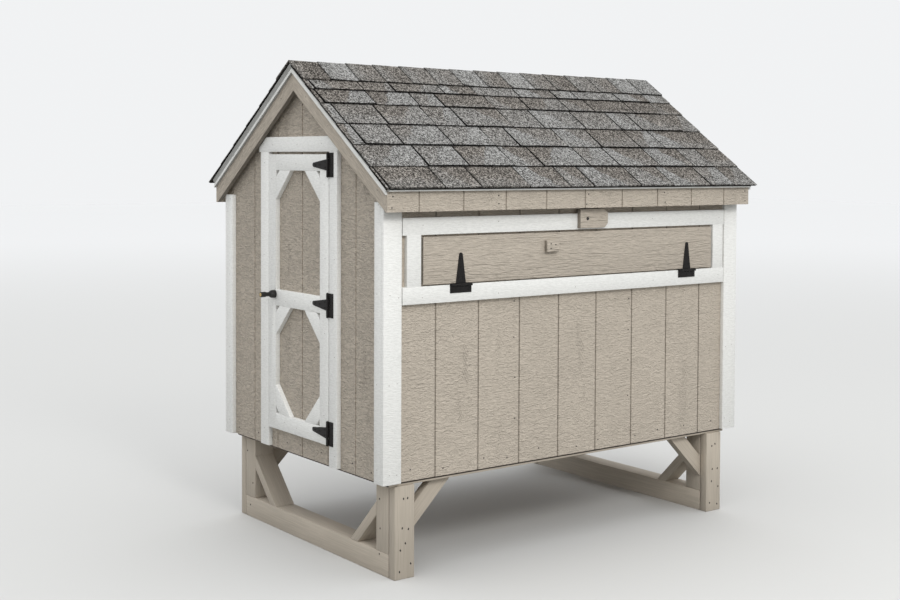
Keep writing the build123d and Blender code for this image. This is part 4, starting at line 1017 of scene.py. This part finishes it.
def spin_profile(name, points, material, body):
    """Piece turned from (radius, distance out of the door) points, in mm."""
    bm = bmesh.new()
    verts = [bm.verts.new((radius / 1000, 0, out / 1000)) for radius, out in points]
    edges = [bm.edges.new(pair) for pair in zip(verts, verts[1:])]
    bmesh.ops.spin(bm, geom=verts + edges, cent=(0, 0, 0), axis=ALONG_Z, angle=2 * math.pi, steps=40,
                   use_merge=True)
    bmesh.ops.remove_doubles(bm, verts=bm.verts[:], dist=1e-6)
    bmesh.ops.recalc_face_normals(bm, faces=bm.faces[:])
    bmesh.ops.transform(bm, matrix=knob_place, verts=bm.verts[:])
    return settle(bm, name, body, material, sharp=math.radians(40))


ROSE = [(9.06, 0), (16.5, 0), (16.5, 12), (16.1, 15), (14.8, 18.5), (12.8, 22), (11.2, 24.2), (10.4, 25),
        (9.06, 25), (9.06, 0)]
KNOB = [(0, -37), (5, -37), (5, 0.1), (9, 0.1), (9, 41.5), (9.6, 43), (10.6, 43.4), (11, 44.4), (11, 64),
        (10.6, 65.4), (9.4, 66), (7.6, 66), (7.4, 65.2), (0, 65.2)]
KEY_END = [(0, 64.5), (7.2, 64.5), (7.2, 66.2), (6.8, 66.6), (0, 66.6)]
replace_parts(spin_profile("rose_dome", ROSE, lock_black, "door"), "knob_rose")
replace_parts(spin_profile("knob_barrel", KNOB, lock_black, "lock"), "door_knob")
spin_profile("key_cylinder", KEY_END, key_brass, "lock")
KEY_SLOT = (0.0012, 0.007, 0.0006)
bm = bmesh.new()
slot_place = knob_place @ Matrix.Translation((0, 0, KEY_END[-1][1] / 1000)) @ Matrix.Diagonal((*KEY_SLOT, 1))
bmesh.ops.create_cube(bm, size=1.0, matrix=slot_place)
round_off(bm, bm.edges[:], 0.00015, segments=1)
settle(bm, "key_slot", "lock", hinge_black)
print("lock turned")

# %% [markdown]
# ## Nails
# Nails hold the trim, the siding and the legs, and their heads and holes show as small dark dots that
# wander a little off a straight line. Each one is a shallow eight-sided dome with a few faces.

# %% Nail tools
NAIL = 0.0022
SIDING_NAIL = 0.0036
LEG_NAIL = 0.0037
LONG_SIDES = ((-1, EGG_OUT), (1, RAMP_OUT))
GABLE_ENDS = ((-1, FRONT_OUT), (1, REAR_OUT))
GABLE, WALL, GABLE_TRIM, WALL_TRIM = 0.925, 0.617, 0.944, 0.636


def stray(reach):
    """Random distance either way."""
    return dice.uniform(-reach, reach)


def drive_nail(bm, point, out, radius=NAIL, stretch=1.0):
    """Shallow dome; a nail that went in askew leaves a longer mark."""
    askew = Matrix.Rotation(math.pi / 2 + stray(0.5), 4, "Z") @ Matrix.Diagonal((stretch, 1, 1, 1))
    bmesh.ops.create_cone(bm, cap_ends=True, segments=8, radius1=radius, radius2=radius * 0.6,
                          depth=radius * 0.5,
                          matrix=facing(point, out) @ askew @ Matrix.Translation((0, 0, radius * 0.12)))


def nail_line(bm, start, end, count, out, wander=0.004, radius=NAIL):
    """Nails from start to end, a little off the line, on a flat face."""
    start, end, out = Vector(start), Vector(end), Vector(out)
    side = out.cross(end - start).normalized()
    run = (end - start).normalized()
    for step in range(count):
        point = start.lerp(end, step / max(count - 1, 1))
        point += side * stray(wander) + run * stray(3 * wander)
        drive_nail(bm, point, out, radius)


print("nail tools ready")

# %% Nails of the trim and the door
bm = bmesh.new()
side_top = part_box("egg_frame")[1].z + 0.05
for side, out in LONG_SIDES:
    for x in (-0.915, -0.88, 0.88, 0.915):
        nail_line(bm, (x, side * WALL_TRIM, SIDING_BOTTOM + 0.04), (x, side * WALL_TRIM, side_top), 4, out)
for end, out in GABLE_ENDS:
    for y in (-0.595, 0.595):
        nail_line(bm, (end * GABLE_TRIM, y, SIDING_BOTTOM + 0.05), (end * GABLE_TRIM, y, side_top), 4, out)
for y in (-0.29, 0.28):
    nail_line(bm, (-GABLE_TRIM, y, SIDING_BOTTOM + 0.06), (-GABLE_TRIM, y, 1.55), 4, FRONT_OUT)
nail_line(bm, (-GABLE_TRIM, -0.2, 1.63), (-GABLE_TRIM, 0.2, 1.63), 3, FRONT_OUT)
for name, side, out in (("egg_frame", -1, EGG_OUT), ("ramp_frame", 1, RAMP_OUT)):
    low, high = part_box(name)
    for z in (low.z + 0.03, high.z - 0.03):
        nail_line(bm, (low.x + 0.05, side * WALL_TRIM, z), (high.x - 0.05, side * WALL_TRIM, z), 5, out, 0.01)
settle(bm, "trim_nails", "coop", nail_painted)

bm = bmesh.new()
low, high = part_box("door_stiles")
for y in (low.y + 0.033, high.y - 0.033):
    nail_line(bm, (-GABLE_TRIM, y, low.z + 0.12), (-GABLE_TRIM, y, high.z - 0.12), 4, FRONT_OUT, 0.01)
for z in (low.z + 0.033, 0.998, high.z - 0.033):
    nail_line(bm, (-GABLE_TRIM, -0.13, z), (-GABLE_TRIM, 0.12, z), 3, FRONT_OUT, 0.01)
settle(bm, "door_nails", "door", nail_painted)
print("trim and door nailed")

# %% Nails of the siding, the rakes and the fascias
bm = bmesh.new()
foot = SIDING_BOTTOM + 0.036
for side, out in LONG_SIDES:
    nail_line(bm, (-0.81, side * WALL, foot), (0.81, side * WALL, foot), 11, out, 0.011, SIDING_NAIL)
    for x in (-0.315, 0.298):
        nail_line(bm, (x, side * WALL, foot + 0.16), (x, side * WALL, 1.0), 4, out, 0.006, SIDING_NAIL)
nail_line(bm, (GABLE, -0.53, foot), (GABLE, 0.53, foot), 9, REAR_OUT, 0.01, SIDING_NAIL)
for y in (-0.284, 0.0, 0.284):
    nail_line(bm, (GABLE, y, foot + 0.16), (GABLE, y, 1.5), 6, REAR_OUT, 0.006, SIDING_NAIL)
nail_line(bm, (-GABLE, -0.53, foot), (-GABLE, 0.53, foot), 9, FRONT_OUT, 0.01, SIDING_NAIL)
for end, out in GABLE_ENDS:
    for side in (-1, 1):
        for y in (0.1, 0.27, 0.44, 0.62):
            drive_nail(bm, (end * rake_x, side * y, roof_peak - y * math.tan(PITCH) - 0.05), out)
low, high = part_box("eave_fascias")
for side, out in LONG_SIDES:
    for x in (-0.945, -0.447, 0.0, 0.447, 0.945):
        for z in (low.z + 0.02, low.z + 0.055):
            spot = (x + stray(0.012), side * high.y, z + stray(0.005))
            drive_nail(bm, spot, out, SIDING_NAIL)
settle(bm, "siding_nails", "coop", nail_steel)
print("siding nailed")

# %% Nails of the legs and the flap's pull
bm = bmesh.new()
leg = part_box("leg_planks")[1]
for end in (-1, 1):
    for side, out in LONG_SIDES:
        for z in (0.04, 0.12, 0.19, 0.30):
            for x in (0.818, 0.85):
                spot = (end * (x + stray(0.014)), side * leg.y, z + stray(0.016))
                drive_nail(bm, spot, out, LEG_NAIL, 1.5)
        for z in (0.06, 0.17, 0.27):
            spot = (end * leg.x, side * dice.uniform(0.50, 0.56), z + stray(0.02))
            drive_nail(bm, spot, (end, 0, 0), LEG_NAIL, 1.3)
settle(bm, "leg_nails", "coop", nail_steel)

bm = bmesh.new()
low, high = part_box("egg_door_pull")
for x, z in ((0.3, 0.3), (0.3, 0.7), (0.7, 0.6)):
    spot = (low.x + x * (high.x - low.x), low.y, low.z + z * (high.z - low.z))
    drive_nail(bm, spot, EGG_OUT, SIDING_NAIL)
settle(bm, "pull_nails", "egg_door", nail_steel)
print("legs and pull nailed")

# %% [markdown]
# ## Floor, light and camera
# The floor is plain and pale, and what it looks like is kept apart from the light it throws back up. A
# broad lamp from the egg-door side makes the long wall the bright one and leaves the door gable in soft
# shade, and a pale sky fills the rest. The camera stands where the photo was taken from; its small
# shift keeps the upright lines where the picture has them.

# %% Floor and sky
FLOOR_NEAR = (0.58, 0.58, 0.57, 1)
FLOOR_FAR = (0.706, 0.708, 0.709, 1)
FLOOR_BOUNCE = (0.25, 0.25, 0.24, 1)
FLOOR_HALF = 40.0
FLOOR_FADE = (3.0, 22.0)
SKY = (0.98, 0.99, 1.0, 1)
SKY_LOW, SKY_HIGH = 0.85, 1.45
BACKDROP = (0.88, 0.89, 0.90, 1)


def seen_directly(tree):
    """One for rays from the camera, a mirror or glass; nil for light that bounces on."""
    path = add(tree, "LightPath").outputs
    mirrored = calc("MAXIMUM", path["Is Glossy Ray"], path["Is Transmission Ray"])
    return calc("MAXIMUM", path["Is Camera Ray"], mirrored)


bm = bmesh.new()
bmesh.ops.create_grid(bm, x_segments=1, y_segments=1, size=FLOOR_HALF)
mesh = bpy.data.meshes.new("studio_floor")
bm.to_mesh(mesh)
bm.free()
floor = put("studio_floor", mesh)
floor_finish, tree, shader = new_finish("pale floor", 0.9)
away = add(tree, "VectorMath", {0: object_spot(tree)}, operation="LENGTH").outputs["Value"]
pale = mixed(fade(away, *FLOOR_FADE), FLOOR_NEAR, FLOOR_FAR)
tree.links.new(mixed(seen_directly(tree), FLOOR_BOUNCE, pale), shader.inputs["Base Color"])
mesh.materials.append(floor_finish)
floor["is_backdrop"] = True

world = bpy.data.worlds.new("studio")
bpy.context.scene.world = world
world.use_nodes = True
tree = world.node_tree
tree.nodes.clear()
height = axes(add(tree, "TexCoord").outputs["Generated"])["Z"]
fill = add(tree, "Background", {"Color": SKY, "Strength": fade(height, 0.0, 1.0, SKY_LOW, SKY_HIGH)})
backdrop = add(tree, "Background", {"Color": BACKDROP, "Strength": 1.0})
switch = add(tree, "MixShader", {0: seen_directly(tree), 1: fill.outputs[0], 2: backdrop.outputs[0]})
output = add(tree, "OutputWorld")
tree.links.new(switch.outputs[0], output.inputs["Surface"])
print("floor laid under a pale sky")

# %% Lamp
LAMP_AT = Vector((-1.6, -7.0, 5.3))
LAMP_AIM = Vector((0.0, 0.0, 0.9))
lamp_data = bpy.data.lights.new("key", "AREA")
lamp_data.shape = "DISK"
lamp_data.size = 2.2
lamp_data.energy = 208.0
lamp_data.color = (0.99, 0.98, 0.955)
lamp = put("key", lamp_data)
lamp.location = LAMP_AT
lamp.rotation_euler = (LAMP_AIM - LAMP_AT).to_track_quat("-Z", "Y").to_euler()
print("lamp of", lamp_data.energy, "watts")

# %% Camera
CAMERA_AT = (-3.643, -4.796, 1.570)
YAW, TILT, ROLL = math.radians(37.78), math.radians(-1.848), math.radians(0.305)
ahead = Vector((math.sin(YAW) * math.cos(TILT), math.cos(YAW) * math.cos(TILT), math.sin(TILT)))
right = Vector((math.cos(YAW), -math.sin(YAW), 0.0))
up = right.cross(ahead)
right, up = right * math.cos(ROLL) + up * math.sin(ROLL), up * math.cos(ROLL) - right * math.sin(ROLL)
camera_data = bpy.data.cameras.new("camera")
camera_data.lens = 54.2
camera_data.sensor_width = 36.0
camera_data.shift_x = -0.0529
camera_data.shift_y = -0.1069
camera = put("camera", camera_data)
camera.matrix_world = Matrix.Translation(CAMERA_AT) @ Matrix((right, up, -ahead)).transposed().to_4x4()
bpy.context.scene.camera = camera
bpy.context.scene.view_settings.view_transform = "Standard"
print("camera at", [round(v, 3) for v in camera.location])

# %% Sizes
low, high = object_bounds()
print("visual box", [round(v, 3) for v in (*low, *high)])
